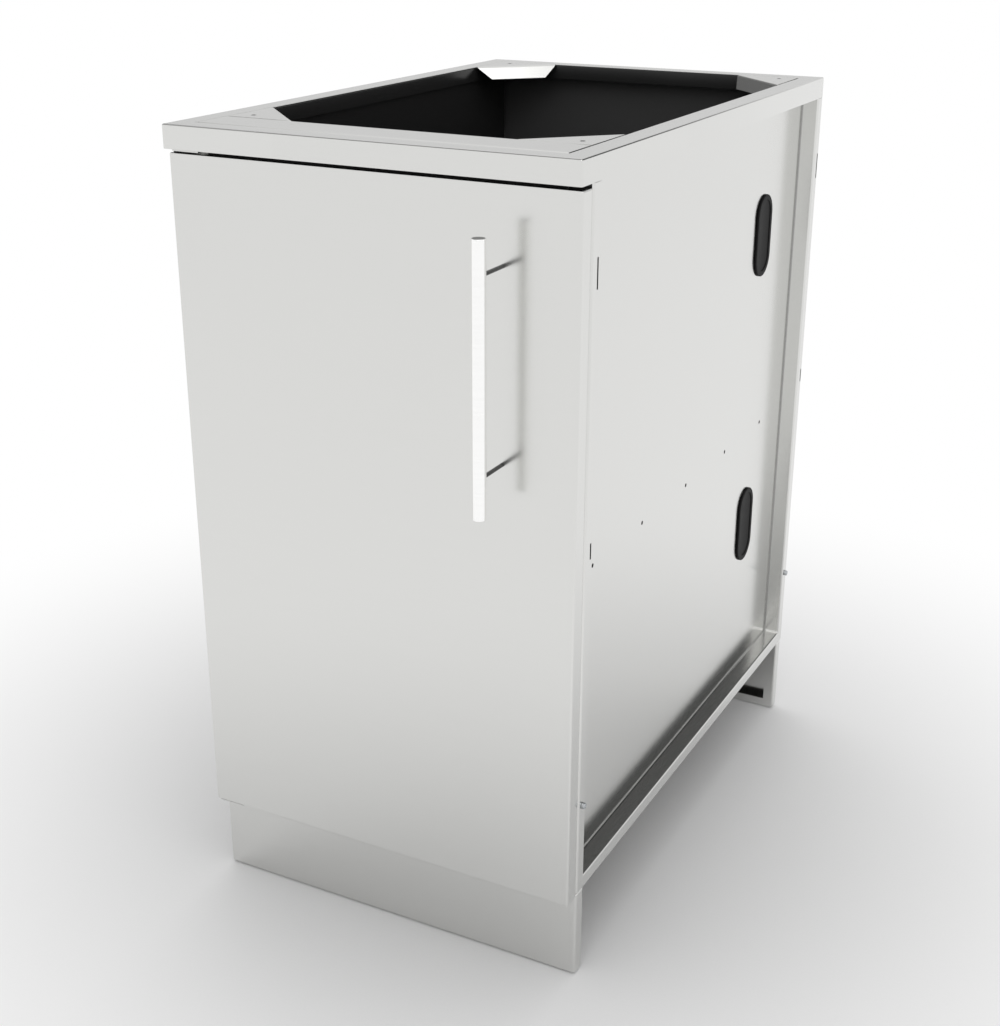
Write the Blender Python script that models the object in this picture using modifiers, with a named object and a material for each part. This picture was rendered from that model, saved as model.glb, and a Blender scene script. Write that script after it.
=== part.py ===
"""Single-door base cabinet for an outdoor kitchen, folded from brushed stainless steel sheet.

The cabinet stands on four levelling feet at Z = 0 and its door faces -Y. The origin is the
middle of the whole outline, handle and stud heads included, at floor level. Lengths are in
metres, and left and right are as seen from the front.
"""

import math

import bmesh
import bpy
from mathutils import Matrix, Vector

# Overall sizes
CABINET_WIDTH = 0.4572
CABINET_HEIGHT = 0.8763
CABINET_DEPTH = 0.7080
BASE_HEIGHT = 0.1048

# Sheet, folds and clearances
SHEET = 0.0012
DOOR_SHEET = 0.0010
BEND_RADIUS = 0.0020
DOOR_BEND_RADIUS = 0.0016
GAP = 0.0003
OVERRUN = 0.0020
MERGE_DISTANCE = 0.00003

# Top rim: an inverted channel that runs round the top, whose front is the fascia
RIM_FLANGE = 0.0250
RIM_LIP_DROP = 0.0180
FASCIA_HEIGHT = 0.0242
FASCIA_PROUD = 0.0052

# Front ledge and corner gussets, which clear the rim's rounded inner corners
CORNER_CLEARANCE = 0.0010
LEDGE_DEPTH = 0.0507
LEDGE_FRONT_DROP = 0.0550
LEDGE_REAR_DROP = 0.0150
GUSSET_LEG = 0.0770
GUSSET_DROP = 0.0150
GUSSET_LEAN = 0.0095
GUSSET_TAPER_SHARE = 0.165
GUSSET_HOLE_INSET = 0.0175
GUSSET_HOLE_DIAMETER = 0.0055

# Side panels: a recessed web with a strip and a return along its front, rear and bottom
SIDE_RECESS = 0.0205
STRIP_FRONT = 0.0165
STRIP_REAR = 0.0155
STRIP_BOTTOM = 0.0170

# Slots and studs in the strips, where neighbouring cabinets are joined
SLOT_WIDTH = 0.0028
SLOT_FROM_EDGE = 0.0042
UPPER_SLOT_BELOW_TOP = 0.1073
UPPER_SLOT_LENGTH = 0.0300
MIDDLE_SLOT_BELOW_TOP = 0.3808
MIDDLE_SLOT_LENGTH = 0.0170
STUD_RISE = 0.1062
STUD_DIAMETER = 0.0050
STUD_HEAD_DIAMETER = 0.0070
STUD_HEAD_HEIGHT = 0.0035
STUD_COLLAR_HEIGHT = 0.0020

# Oblong service ports and their rubber plugs
PORT_WIDTH = 0.0430
PORT_HEIGHT = 0.0920
PORT_FROM_REAR = 0.1395
UPPER_PORT_BELOW_TOP = 0.1726
LOWER_PORT_RISE = 0.2235
PLUG_FLANGE = 0.0035
PLUG_FLANGE_THICKNESS = 0.0024
PLUG_DISH_DEPTH = 0.0012
PLUG_BODY_DEPTH = 0.0070
PLUG_WALL = 0.0030

# Back panel, floor panel and shelf
BACK_PANEL_SIDE_INSET = 0.0060
BACK_PANEL_BASE_CLEARANCE = 0.0040
FLOOR_PANEL_RISE = 0.0300
SHELF_FRONT_SETBACK = 0.0300
SHELF_REAR_CLEARANCE = 0.0060
SHELF_SIDE_CLEARANCE = 0.0010
SHELF_DROP = 0.0200

# Shelf rails and their rivets
RIVET_COUNT = 5
FIRST_RIVET_FROM_DOOR_FACE = 0.0848
LAST_RIVET_FROM_REAR = 0.1028
RIVET_RISE = 0.3512
RIVET_DIAMETER = 0.0042
RIVET_HEAD_DIAMETER = 0.0080
RIVET_HEAD_HEIGHT = 0.0012
RAIL_SHEET = 0.0015
RAIL_RISE = 0.0130
RAIL_DROP = 0.0120
RAIL_LEDGE = 0.0180
RAIL_OVERHANG = 0.0200

# Toe kicks: hollow boxes, each with a cut-out near both ends of its inner wall
KICK_SETBACK = 0.0015
KICK_END_INSET = 0.0011
KICK_FLOOR_GAP = 0.0015
FRONT_KICK_DEPTH = 0.0170
REAR_KICK_DEPTH = 0.0152
KICK_CUTOUT_LENGTH = 0.0600
KICK_CUTOUT_HEIGHT = 0.0195
KICK_CUTOUT_FROM_END = 0.0150
KICK_CUTOUT_Z = 0.0135

# Legs: a socket under the floor panel, and a foot that screws out of it
LEG_FROM_SIDE = 0.0850
LEG_FROM_FRONT = 0.0600
LEG_FROM_REAR = 0.0600
SOCKET_FLANGE_DIAMETER = 0.0440
SOCKET_FLANGE_THICKNESS = 0.0020
SOCKET_DIAMETER = 0.0200
SOCKET_BASE_Z = 0.0320
SOCKET_BORE_CLEARANCE = 0.0030
FOOT_STEM_DIAMETER = 0.0120
FOOT_STEM_TOP_Z = 0.1000
FOOT_COLLAR_DIAMETER = 0.0200
FOOT_COLLAR_HEIGHT = 0.0070
FOOT_PAD_DIAMETER = 0.0360
FOOT_PAD_EDGE = 0.0040
FOOT_PAD_HEIGHT = 0.0080

# Door: an outer skin and an inner liner, both shallow trays
DOOR_THICKNESS = 0.0185
DOOR_TOP_GAP = 0.0042
DOOR_BOTTOM_LAP = 0.0029
DOOR_GAP_LEFT = 0.0031
DOOR_GAP_RIGHT = 0.0012
DOOR_SEAT_GAP = 0.0018
LINER_CLEARANCE = 0.0005

# Pivots at the door's top and bottom left corners
PIVOT_FROM_EDGE = 0.0062
PIVOT_FROM_FACE = 0.0066
PIVOT_PIN_DIAMETER = 0.0040
PIVOT_PIN_HEAD_DIAMETER = 0.0070
PIVOT_PIN_HEAD_HEIGHT = 0.0007
PIVOT_PIN_REACH = 0.0090
BUSH_DIAMETER = 0.0064
BUSH_FLANGE_DIAMETER = 0.0090
BUSH_FLANGE_THICKNESS = 0.0008
BUSH_LENGTH = 0.0070
BRACKET_SHEET = 0.0012
BRACKET_NOSE = 0.0042
BRACKET_LENGTH = 0.0280
BRACKET_LEG_START = 0.0065
BRACKET_LEG_HEIGHT = 0.0300

# Bar handle
HANDLE_LENGTH = 0.2660
HANDLE_DIAMETER = 0.0135
HANDLE_AXIS_OUT = 0.0450
HANDLE_FROM_RIGHT = 0.0803
HANDLE_BELOW_DOOR_TOP = 0.0404
HANDLE_END_CHAMFER = 0.0005
STANDOFF_SPACING = 0.1920
STANDOFFS_ABOVE_BAR_MIDDLE = 0.0028
STANDOFF_DIAMETER = 0.0040
STANDOFF_BORE_DEPTH = 0.0120
HANDLE_SCREW_DIAMETER = 0.0020
HANDLE_SCREW_HEAD_DIAMETER = 0.0060
HANDLE_SCREW_HEAD_HEIGHT = 0.0020
HANDLE_SCREW_TIP_CLEARANCE = 0.0020

# Magnetic catch and door bumpers
CATCH_WIDTH = 0.0450
CATCH_DEPTH = 0.0180
CATCH_HEIGHT = 0.0180
CATCH_FROM_RIGHT = 0.0800
CATCH_WALL = 0.0040
CATCH_TAB_HEIGHT = 0.0200
CATCH_TAB_THICKNESS = 0.0030
STRIKE_MARGIN = 0.0020
BUMPER_DIAMETER = 0.0090
BUMPER_STEM_DIAMETER = 0.0040
BUMPER_STEM_LENGTH = 0.0050
BUMPER_FROM_EDGE = 0.0120
BUMPER_FROM_END = 0.0360

# Facets of round pieces and of folds
ROUND_SIDES = 24
SMALL_SIDES = 12
BEND_SEGMENTS = 2
BEND_ANGLE = math.radians(30)
CHAMFER_ANGLE = math.radians(60)
SMOOTH_ANGLE = math.radians(35)

# Places worked out from the sizes above
HALF_WIDTH = CABINET_WIDTH / 2
INNER_EDGE_X = HALF_WIDTH - RIM_FLANGE
WEB_X = HALF_WIDTH - SIDE_RECESS
WEB_INNER_X = WEB_X - SHEET
HANDLE_REACH = HANDLE_AXIS_OUT + HANDLE_DIAMETER / 2
OUTLINE_DEPTH = HANDLE_REACH + CABINET_DEPTH - FASCIA_PROUD
DOOR_FACE_Y = HANDLE_REACH - OUTLINE_DEPTH / 2
DOOR_BACK_Y = DOOR_FACE_Y + DOOR_THICKNESS
CARCASS_FRONT_Y = DOOR_BACK_Y + DOOR_SEAT_GAP
FASCIA_Y = DOOR_FACE_Y - FASCIA_PROUD
BACK_Y = FASCIA_Y + CABINET_DEPTH
BACK_PANEL_REAR_Y = BACK_Y - SHEET - GAP
BACK_PANEL_FRONT_Y = BACK_PANEL_REAR_Y - SHEET
RECESS_FRONT_Y = CARCASS_FRONT_Y + STRIP_FRONT
RECESS_REAR_Y = BACK_Y - STRIP_REAR
LEDGE_REAR_Y = CARCASS_FRONT_Y + LEDGE_DEPTH
RIM_REAR_EDGE_Y = BACK_Y - RIM_FLANGE
TOP_Z = CABINET_HEIGHT
UNDER_RIM_Z = TOP_Z - SHEET - GAP
FASCIA_BASE_Z = TOP_Z - FASCIA_HEIGHT
STRIP_TOP_Z = FASCIA_BASE_Z - GAP
FLOOR_PANEL_BASE_Z = BASE_HEIGHT + SHEET + GAP
FLOOR_PANEL_Z = BASE_HEIGHT + FLOOR_PANEL_RISE
DOOR_TOP_Z = FASCIA_BASE_Z - DOOR_TOP_GAP
DOOR_BASE_Z = BASE_HEIGHT - DOOR_BOTTOM_LAP
DOOR_LEFT_X = DOOR_GAP_LEFT - HALF_WIDTH
DOOR_RIGHT_X = HALF_WIDTH - DOOR_GAP_RIGHT
LINER_INSET = DOOR_SHEET + GAP
LINER_FRONT_Y = DOOR_FACE_Y + DOOR_SHEET + LINER_CLEARANCE
SEAT_FILL = DOOR_SEAT_GAP - GAP - GAP
PIVOT_X = DOOR_LEFT_X + PIVOT_FROM_EDGE
PIVOT_Y = DOOR_FACE_Y + PIVOT_FROM_FACE
HANDLE_X = HALF_WIDTH - HANDLE_FROM_RIGHT
HANDLE_Y = DOOR_FACE_Y - HANDLE_AXIS_OUT
HANDLE_ROOT_Y = DOOR_FACE_Y - GAP
HANDLE_CENTRE_Z = DOOR_TOP_Z - HANDLE_BELOW_DOOR_TOP - HANDLE_LENGTH / 2
SLOTS = ((TOP_Z - UPPER_SLOT_BELOW_TOP, UPPER_SLOT_LENGTH),
         (TOP_Z - MIDDLE_SLOT_BELOW_TOP, MIDDLE_SLOT_LENGTH))
STUD_Z = BASE_HEIGHT + STUD_RISE
PORT_Y = BACK_Y - PORT_FROM_REAR
PORT_HEIGHTS = {"upper": TOP_Z - UPPER_PORT_BELOW_TOP, "lower": BASE_HEIGHT + LOWER_PORT_RISE}
FIRST_RIVET_Y = DOOR_FACE_Y + FIRST_RIVET_FROM_DOOR_FACE
LAST_RIVET_Y = BACK_Y - LAST_RIVET_FROM_REAR
RIVET_Z = BASE_HEIGHT + RIVET_RISE
RAIL_OUTER_X = WEB_INNER_X - GAP
RAIL_INNER_X = RAIL_OUTER_X - RAIL_SHEET
RAIL_TOP_Z = RIVET_Z + RAIL_RISE

SIDES = {"left": -1, "right": 1}


def clear_scene():
    """Remove whatever objects the file holds."""
    for thing in list(bpy.data.objects):
        bpy.data.objects.remove(thing, do_unlink=True)


def new_collection(name):
    """Make a collection under the scene's own."""
    group = bpy.data.collections.new(name)
    bpy.context.scene.collection.children.link(group)
    return group


def finish(name, colour, metallic, roughness):
    """Make a Principled material with one colour."""
    made = bpy.data.materials.new(name)
    made.use_nodes = True
    shader = made.node_tree.nodes["Principled BSDF"]
    shader.inputs["Base Color"].default_value = (*colour, 1.0)
    shader.inputs["Metallic"].default_value = metallic
    shader.inputs["Roughness"].default_value = roughness
    return made


clear_scene()
PARTS = new_collection("outdoor_kitchen_cabinet")
CUTTERS = new_collection("cutters")

BRUSHED = finish("brushed_stainless", (0.62, 0.62, 0.61), 1.0, 0.35)
POLISHED = finish("polished_stainless", (0.80, 0.80, 0.80), 1.0, 0.12)
FASTENER = finish("fastener_steel", (0.45, 0.45, 0.45), 1.0, 0.40)
DARK_RIVET = finish("dark_rivet", (0.05, 0.05, 0.05), 0.6, 0.50)
RUBBER = finish("black_rubber", (0.03, 0.03, 0.03), 0.0, 0.60)
PLASTIC = finish("black_plastic", (0.04, 0.04, 0.04), 0.0, 0.45)


def to_object(bm, name, look=None, group=PARTS):
    """Turn a finished bmesh into a named object of a collection."""
    mesh = bpy.data.meshes.new(name)
    bm.to_mesh(mesh)
    bm.free()
    made = bpy.data.objects.new(name, mesh)
    if look is not None:
        mesh.materials.append(look)
    group.objects.link(made)
    return made


def smooth(thing):
    """Shade round faces smooth and keep the real edges sharp."""
    thing.data.shade_smooth()
    thing.data.set_sharp_from_angle(angle=SMOOTH_ANGLE)


def add_box(bm, corner, opposite):
    """Add a box between two opposite corners to a mesh in the making."""
    corner = Vector(corner)
    opposite = Vector(opposite)
    size = [abs(extent) for extent in opposite - corner]
    place = Matrix.Translation((corner + opposite) / 2) @ Matrix.Diagonal((*size, 1.0))
    bmesh.ops.create_cube(bm, size=1.0, matrix=place)


def add_rod(bm, start, end, radius, sides=SMALL_SIDES):
    """Add a closed cylinder from one centre to another."""
    start = Vector(start)
    end = Vector(end)
    run = end - start
    turn = run.to_track_quat("Z", "Y").to_matrix().to_4x4()
    bmesh.ops.create_cone(bm, cap_ends=True, segments=sides, radius1=radius, radius2=radius,
                          depth=run.length, matrix=Matrix.Translation((start + end) / 2) @ turn)


def add_oblong(bm, centre, width, height, depth):
    """Add an upright oblong with round ends, its depth along X."""
    radius = width / 2
    half_step = Matrix.Rotation(math.pi / ROUND_SIDES, 4, "Z")
    turn = Matrix.Rotation(math.radians(90), 4, "Y") @ half_step
    made = bmesh.ops.create_cone(bm, cap_ends=True, segments=ROUND_SIDES, radius1=radius,
                                 radius2=radius, depth=depth, matrix=turn)
    for vertex in made["verts"]:
        vertex.co.z += math.copysign(height / 2 - radius, vertex.co.z)
        vertex.co += Vector(centre)


def box(name, corner, opposite, look=BRUSHED, group=PARTS):
    """Make one box from two opposite corners."""
    bm = bmesh.new()
    add_box(bm, corner, opposite)
    return to_object(bm, name, look, group)


def rod(name, start, end, radius, look, sides=SMALL_SIDES):
    """Make one cylinder from two centres."""
    bm = bmesh.new()
    add_rod(bm, start, end, radius, sides)
    made = to_object(bm, name, look)
    smooth(made)
    return made


def combine(target, tool, operation):
    """Add a live Boolean to an object and hide the tool."""
    tool.hide_render = True
    tool.display_type = "WIRE"
    step = target.modifiers.new(tool.name, "BOOLEAN")
    step.operation = operation
    step.solver = "EXACT"
    step.object = tool
    return target


def cut_boxes(target, name, spans):
    """Cut boxes out of an object, each given by two opposite corners."""
    bm = bmesh.new()
    for corner, opposite in spans:
        add_box(bm, corner, opposite)
    return combine(target, to_object(bm, name, None, CUTTERS), "DIFFERENCE")


def cut_rods(target, name, runs, radius, sides=SMALL_SIDES):
    """Cut cylinders out of an object, each given by two centres."""
    bm = bmesh.new()
    for start, end in runs:
        add_rod(bm, start, end, radius, sides)
    return combine(target, to_object(bm, name, None, CUTTERS), "DIFFERENCE")


def round_folds(thing, radius):
    """Round every fold of an object."""
    bends = thing.modifiers.new("bends", "BEVEL")
    bends.limit_method = "ANGLE"
    bends.angle_limit = BEND_ANGLE
    bends.width = radius
    bends.segments = BEND_SEGMENTS


def thicken(thing, thickness):
    """Give an open sheet its thickness behind the show side."""
    wall = thing.modifiers.new("wall", "SOLIDIFY")
    wall.thickness = thickness
    wall.offset = -1
    wall.use_even_offset = True


def face_show_side(bm, show):
    """Turn the faces of an open sheet so that the ones square to show look along it."""
    bmesh.ops.recalc_face_normals(bm, faces=bm.faces)
    show = Vector(show)
    squarest = max(bm.faces, key=lambda face: abs(face.normal.dot(show)))
    if squarest.normal.dot(show) < 0:
        bmesh.ops.reverse_faces(bm, faces=bm.faces)


def fold_rings(name, rings, place, show, look=BRUSHED, thickness=SHEET, radius=BEND_RADIUS,
               web=True, open_top=False):
    """Fold a sheet through a row of rectangles, each joined to the one before it.

    Each ring is (low u, high u, low v, high v, w), and place turns (u, v, w) into a point.
    The first ring bounds the flat web, which can be left out for a frame. With open_top, no
    walls grow from the edge at high v.
    """
    bm = bmesh.new()
    bmesh.ops.create_grid(bm, x_segments=1, y_segments=1, size=1.0)
    corners = {vertex: (vertex.co.x > 0, vertex.co.y > 0) for vertex in bm.verts}
    edges = [edge for edge in bm.edges
             if not (open_top and all(corners[vertex][1] for vertex in edge.verts))]
    if not web:
        bmesh.ops.delete(bm, geom=list(bm.faces), context="FACES_ONLY")

    def settle(ring):
        low_u, high_u, low_v, high_v, depth = ring
        for vertex, (is_high_u, is_high_v) in corners.items():
            across = high_u if is_high_u else low_u
            along = high_v if is_high_v else low_v
            vertex.co = place(across, along, depth)

    settle(rings[0])
    for ring in rings[1:]:
        grown = bmesh.ops.extrude_edge_only(bm, edges=edges)["geom"]
        fresh = {}
        for item in grown:
            if isinstance(item, bmesh.types.BMVert):
                source = next(old for old in corners if (old.co - item.co).length == 0)
                fresh[item] = corners[source]
        corners = fresh
        edges = [item for item in grown if isinstance(item, bmesh.types.BMEdge)
                 and all(vertex in corners for vertex in item.verts)]
        settle(ring)
    face_show_side(bm, show)
    made = to_object(bm, name, look)
    round_folds(made, radius)
    thicken(made, thickness)
    return made


def tray(name, low, high, closed_side, look=BRUSHED, thickness=SHEET, radius=BEND_RADIUS):
    """Fold a tray that fills a box and is open opposite its closed side, such as "+Z"."""
    axis = "XYZ".index(closed_side[1])
    outward = 1 if closed_side[0] == "+" else -1
    others = [index for index in range(3) if index != axis]

    def place(across, along, depth):
        point = Vector((0, 0, 0))
        point[others[0]] = across
        point[others[1]] = along
        point[axis] = depth
        return point

    spans = (low[others[0]], high[others[0]], low[others[1]], high[others[1]])
    floor, rim = (high[axis], low[axis]) if outward > 0 else (low[axis], high[axis])
    return fold_rings(name, [(*spans, floor), (*spans, rim)], place, place(0, 0, outward),
                      look, thickness, radius)


def folded_strip(name, section, low_x, high_x, show):
    """Fold a strip along X from its (y, z) section."""
    bm = bmesh.new()
    near = [bm.verts.new((low_x, y, z)) for y, z in section]
    lines = [bm.edges.new(pair) for pair in zip(near, near[1:])]
    grown = bmesh.ops.extrude_edge_only(bm, edges=lines)["geom"]
    moved = [item for item in grown if isinstance(item, bmesh.types.BMVert)]
    bmesh.ops.translate(bm, verts=moved, vec=(high_x - low_x, 0, 0))
    face_show_side(bm, show)
    made = to_object(bm, name, BRUSHED)
    round_folds(made, BEND_RADIUS)
    thicken(made, SHEET)
    return made


def turned(name, profile, place, direction, look, sides=SMALL_SIDES, closed=False):
    """Turn a profile of (radius, distance along direction), from its far end down its outside.

    A closed profile is joined end to end, and so leaves a bore through the piece.
    """
    bm = bmesh.new()
    points = [bm.verts.new((radius, 0, along)) for radius, along in profile]
    for pair in zip(points, points[1:]):
        bm.edges.new(pair)
    if closed:
        bm.edges.new((points[-1], points[0]))
    made = to_object(bm, name, look)
    made.location = place
    made.rotation_euler = Vector(direction).to_track_quat("Z", "Y").to_euler()
    turn = made.modifiers.new("turn", "SCREW")
    turn.steps = sides
    turn.render_steps = sides
    turn.use_merge_vertices = True
    turn.merge_threshold = MERGE_DISTANCE
    return made


def make_top_rim():
    """Frame of inverted channel round the top, in one piece with the fascia."""
    inner = (-INNER_EDGE_X, INNER_EDGE_X, FASCIA_Y + RIM_FLANGE, RIM_REAR_EDGE_Y)
    outer = (-HALF_WIDTH, HALF_WIDTH, FASCIA_Y, BACK_Y)
    rings = [(*inner, TOP_Z - RIM_LIP_DROP), (*inner, TOP_Z), (*outer, TOP_Z),
             (*outer, FASCIA_BASE_Z)]
    fold_rings("top_rim", rings, lambda x, y, z: Vector((x, y, z)), (0, 0, 1), web=False)


def make_front_ledge():
    """Ledge inside the front of the rim, whose front flange closes the frame over the door."""
    section = [(CARCASS_FRONT_Y, TOP_Z - LEDGE_FRONT_DROP), (CARCASS_FRONT_Y, TOP_Z),
               (LEDGE_REAR_Y, TOP_Z), (LEDGE_REAR_Y, TOP_Z - LEDGE_REAR_DROP)]
    reach = INNER_EDGE_X - CORNER_CLEARANCE
    folded_strip("front_ledge", section, -reach, reach, (0, 0, 1))


def make_gusset(name, side, corner_y, inward):
    """Triangular corner plate with a screw hole and a flange that slopes into the opening."""
    corner = Vector((side * (INNER_EDGE_X - CORNER_CLEARANCE), corner_y, TOP_Z))
    across = corner + Vector((-side * GUSSET_LEG, 0, 0))
    along = corner + Vector((0, inward * GUSSET_LEG, 0))
    taper = (along - across) * GUSSET_TAPER_SHARE
    lean = Vector((-side, inward, 0)).normalized() * GUSSET_LEAN
    bm = bmesh.new()
    plate = [bm.verts.new(point) for point in (corner, across, along)]
    bm.faces.new(plate)
    grown = bmesh.ops.extrude_edge_only(bm, edges=[bm.edges.get(plate[1:])])["geom"]
    for item in grown:
        if isinstance(item, bmesh.types.BMVert):
            starts_across = (item.co - across).length < (item.co - along).length
            item.co += lean + (taper if starts_across else -taper)
            item.co.z -= GUSSET_DROP
    face_show_side(bm, (0, 0, 1))
    gusset = to_object(bm, name, BRUSHED)
    round_folds(gusset, BEND_RADIUS)
    thicken(gusset, SHEET)
    hole = corner + Vector((-side * GUSSET_HOLE_INSET, inward * GUSSET_HOLE_INSET, 0))
    reach = Vector((0, 0, SHEET + OVERRUN))
    cut_rods(gusset, name + "_hole", [(hole - reach, hole + reach)], GUSSET_HOLE_DIAMETER / 2)


def make_gussets():
    """A gusset in each corner of the top opening."""
    for side_name, side in SIDES.items():
        make_gusset(f"gusset_front_{side_name}", side, LEDGE_REAR_Y + GAP, 1)
        make_gusset(f"gusset_rear_{side_name}", side,
                    RIM_REAR_EDGE_Y - CORNER_CLEARANCE, -1)


def port_centre(side, height):
    """Centre of a service port on a side panel's outer web face."""
    return Vector((side * WEB_X, PORT_Y, height))


def rivet_places():
    """Distances of the shelf rail rivets along Y, from the front to the back."""
    spacing = (LAST_RIVET_Y - FIRST_RIVET_Y) / (RIVET_COUNT - 1)
    return [FIRST_RIVET_Y + index * spacing for index in range(RIVET_COUNT)]


def stud_places():
    """Names and places along Y of the joining studs: the middles of both upright strips."""
    return {"front": CARCASS_FRONT_Y + STRIP_FRONT / 2, "rear": BACK_Y - STRIP_REAR / 2}


def make_side_panel(side_name, side):
    """Recessed side whose web stands up into the rim, with its strips, returns and holes."""
    name = f"side_panel_{side_name}"
    recess = (RECESS_FRONT_Y, RECESS_REAR_Y, BASE_HEIGHT + STRIP_BOTTOM, UNDER_RIM_Z)
    outline = (CARCASS_FRONT_Y, BACK_Y, BASE_HEIGHT, UNDER_RIM_Z)
    rings = [(*recess, side * WEB_X), (*recess, side * HALF_WIDTH),
             (*outline, side * HALF_WIDTH), (*outline, side * INNER_EDGE_X)]
    panel = fold_rings(name, rings, lambda y, z, x: Vector((x, y, z)), (side, 0, 0),
                       open_top=True)

    outside = side * (HALF_WIDTH + OVERRUN)
    inside = side * (INNER_EDGE_X - OVERRUN)
    cleared_z = TOP_Z + OVERRUN
    margin = BEND_RADIUS + SHEET
    cut_boxes(panel, name + "_top_corners", [
        ((inside, CARCASS_FRONT_Y - OVERRUN, STRIP_TOP_Z),
         (outside, RECESS_FRONT_Y + margin, cleared_z)),
        ((inside, RECESS_REAR_Y - margin, STRIP_TOP_Z),
         (outside, BACK_Y + OVERRUN, cleared_z))])

    slot_places = (RECESS_FRONT_Y - SLOT_FROM_EDGE, BACK_Y - SLOT_FROM_EDGE)
    slots = []
    for slot_y in slot_places:
        for slot_z, length in SLOTS:
            slots.append(((side * (HALF_WIDTH - SHEET - OVERRUN), slot_y - SLOT_WIDTH / 2,
                           slot_z - length / 2),
                          (outside, slot_y + SLOT_WIDTH / 2, slot_z + length / 2)))
    cut_boxes(panel, name + "_slots", slots)

    cutter = bmesh.new()
    for height in PORT_HEIGHTS.values():
        add_oblong(cutter, port_centre(side, height), PORT_WIDTH, PORT_HEIGHT, SIDE_RECESS)
    for rivet_y in rivet_places():
        add_rod(cutter, (inside, rivet_y, RIVET_Z), (outside, rivet_y, RIVET_Z),
                RIVET_DIAMETER / 2 + GAP)
    for stud_y in stud_places().values():
        add_rod(cutter, (side * WEB_X, stud_y, STUD_Z), (outside, stud_y, STUD_Z),
                STUD_DIAMETER / 2 + GAP)
    combine(panel, to_object(cutter, name + "_holes", None, CUTTERS), "DIFFERENCE")


def make_plug(name, centre, side):
    """Rubber plug in a service port: a dished flange outside and a hollow body in the port."""
    outward = Vector((side, 0, 0))
    flange_middle = centre + outward * (GAP + PLUG_FLANGE_THICKNESS / 2)
    bm = bmesh.new()
    add_oblong(bm, flange_middle, PORT_WIDTH + PLUG_FLANGE * 2, PORT_HEIGHT + PLUG_FLANGE * 2,
               PLUG_FLANGE_THICKNESS)
    plug = to_object(bm, name, RUBBER)

    body_middle = flange_middle - outward * (PLUG_BODY_DEPTH / 2)
    bm = bmesh.new()
    add_oblong(bm, body_middle, PORT_WIDTH - GAP * 2, PORT_HEIGHT - GAP * 2, PLUG_BODY_DEPTH)
    combine(plug, to_object(bm, name + "_body", None, CUTTERS), "UNION")

    inner_width = PORT_WIDTH - PLUG_WALL * 2
    inner_height = PORT_HEIGHT - PLUG_WALL * 2
    bm = bmesh.new()
    dish_face = flange_middle + outward * (PLUG_FLANGE_THICKNESS / 2)
    add_oblong(bm, dish_face, inner_width, inner_height, PLUG_DISH_DEPTH * 2)
    hollow_face = body_middle - outward * (PLUG_BODY_DEPTH / 2)
    add_oblong(bm, hollow_face, inner_width, inner_height,
               (PLUG_BODY_DEPTH - PLUG_FLANGE_THICKNESS) * 2)
    combine(plug, to_object(bm, name + "_hollows", None, CUTTERS), "DIFFERENCE")


def make_plugs():
    """A plug in each port of both side panels."""
    for side_name, side in SIDES.items():
        for height_name, height in PORT_HEIGHTS.items():
            make_plug(f"port_plug_{side_name}_{height_name}", port_centre(side, height), side)


def make_joining_studs():
    """Studs riveted through the strips, where neighbouring cabinets fasten."""
    head = STUD_HEAD_DIAMETER / 2
    neck = STUD_DIAMETER / 2
    collar_top = -SHEET - GAP
    profile = [(0, GAP + STUD_HEAD_HEIGHT), (head, GAP + STUD_HEAD_HEIGHT), (head, GAP),
               (neck, GAP), (neck, collar_top), (head, collar_top),
               (head, collar_top - STUD_COLLAR_HEIGHT), (0, collar_top - STUD_COLLAR_HEIGHT)]
    for side_name, side in SIDES.items():
        for place_name, y in stud_places().items():
            turned(f"joining_stud_{side_name}_{place_name}", profile,
                   (side * HALF_WIDTH, y, STUD_Z), (side, 0, 0), FASTENER)


def make_back_panel():
    """Flat back sheet, held in the rear channels of the side panels and of the rim."""
    edge_x = HALF_WIDTH - BACK_PANEL_SIDE_INSET
    base_z = FLOOR_PANEL_BASE_Z + BACK_PANEL_BASE_CLEARANCE
    box("back_panel", (-edge_x, BACK_PANEL_FRONT_Y, base_z),
        (edge_x, BACK_PANEL_REAR_Y, UNDER_RIM_Z - BEND_RADIUS))


def make_floor_panel():
    """Floor of the cabinet: a tray upside down between the two webs."""
    reach = WEB_INNER_X - GAP
    tray("floor_panel", (-reach, CARCASS_FRONT_Y + SHEET + GAP, FLOOR_PANEL_BASE_Z),
         (reach, BACK_PANEL_FRONT_Y - GAP, FLOOR_PANEL_Z), "+Z")


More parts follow.
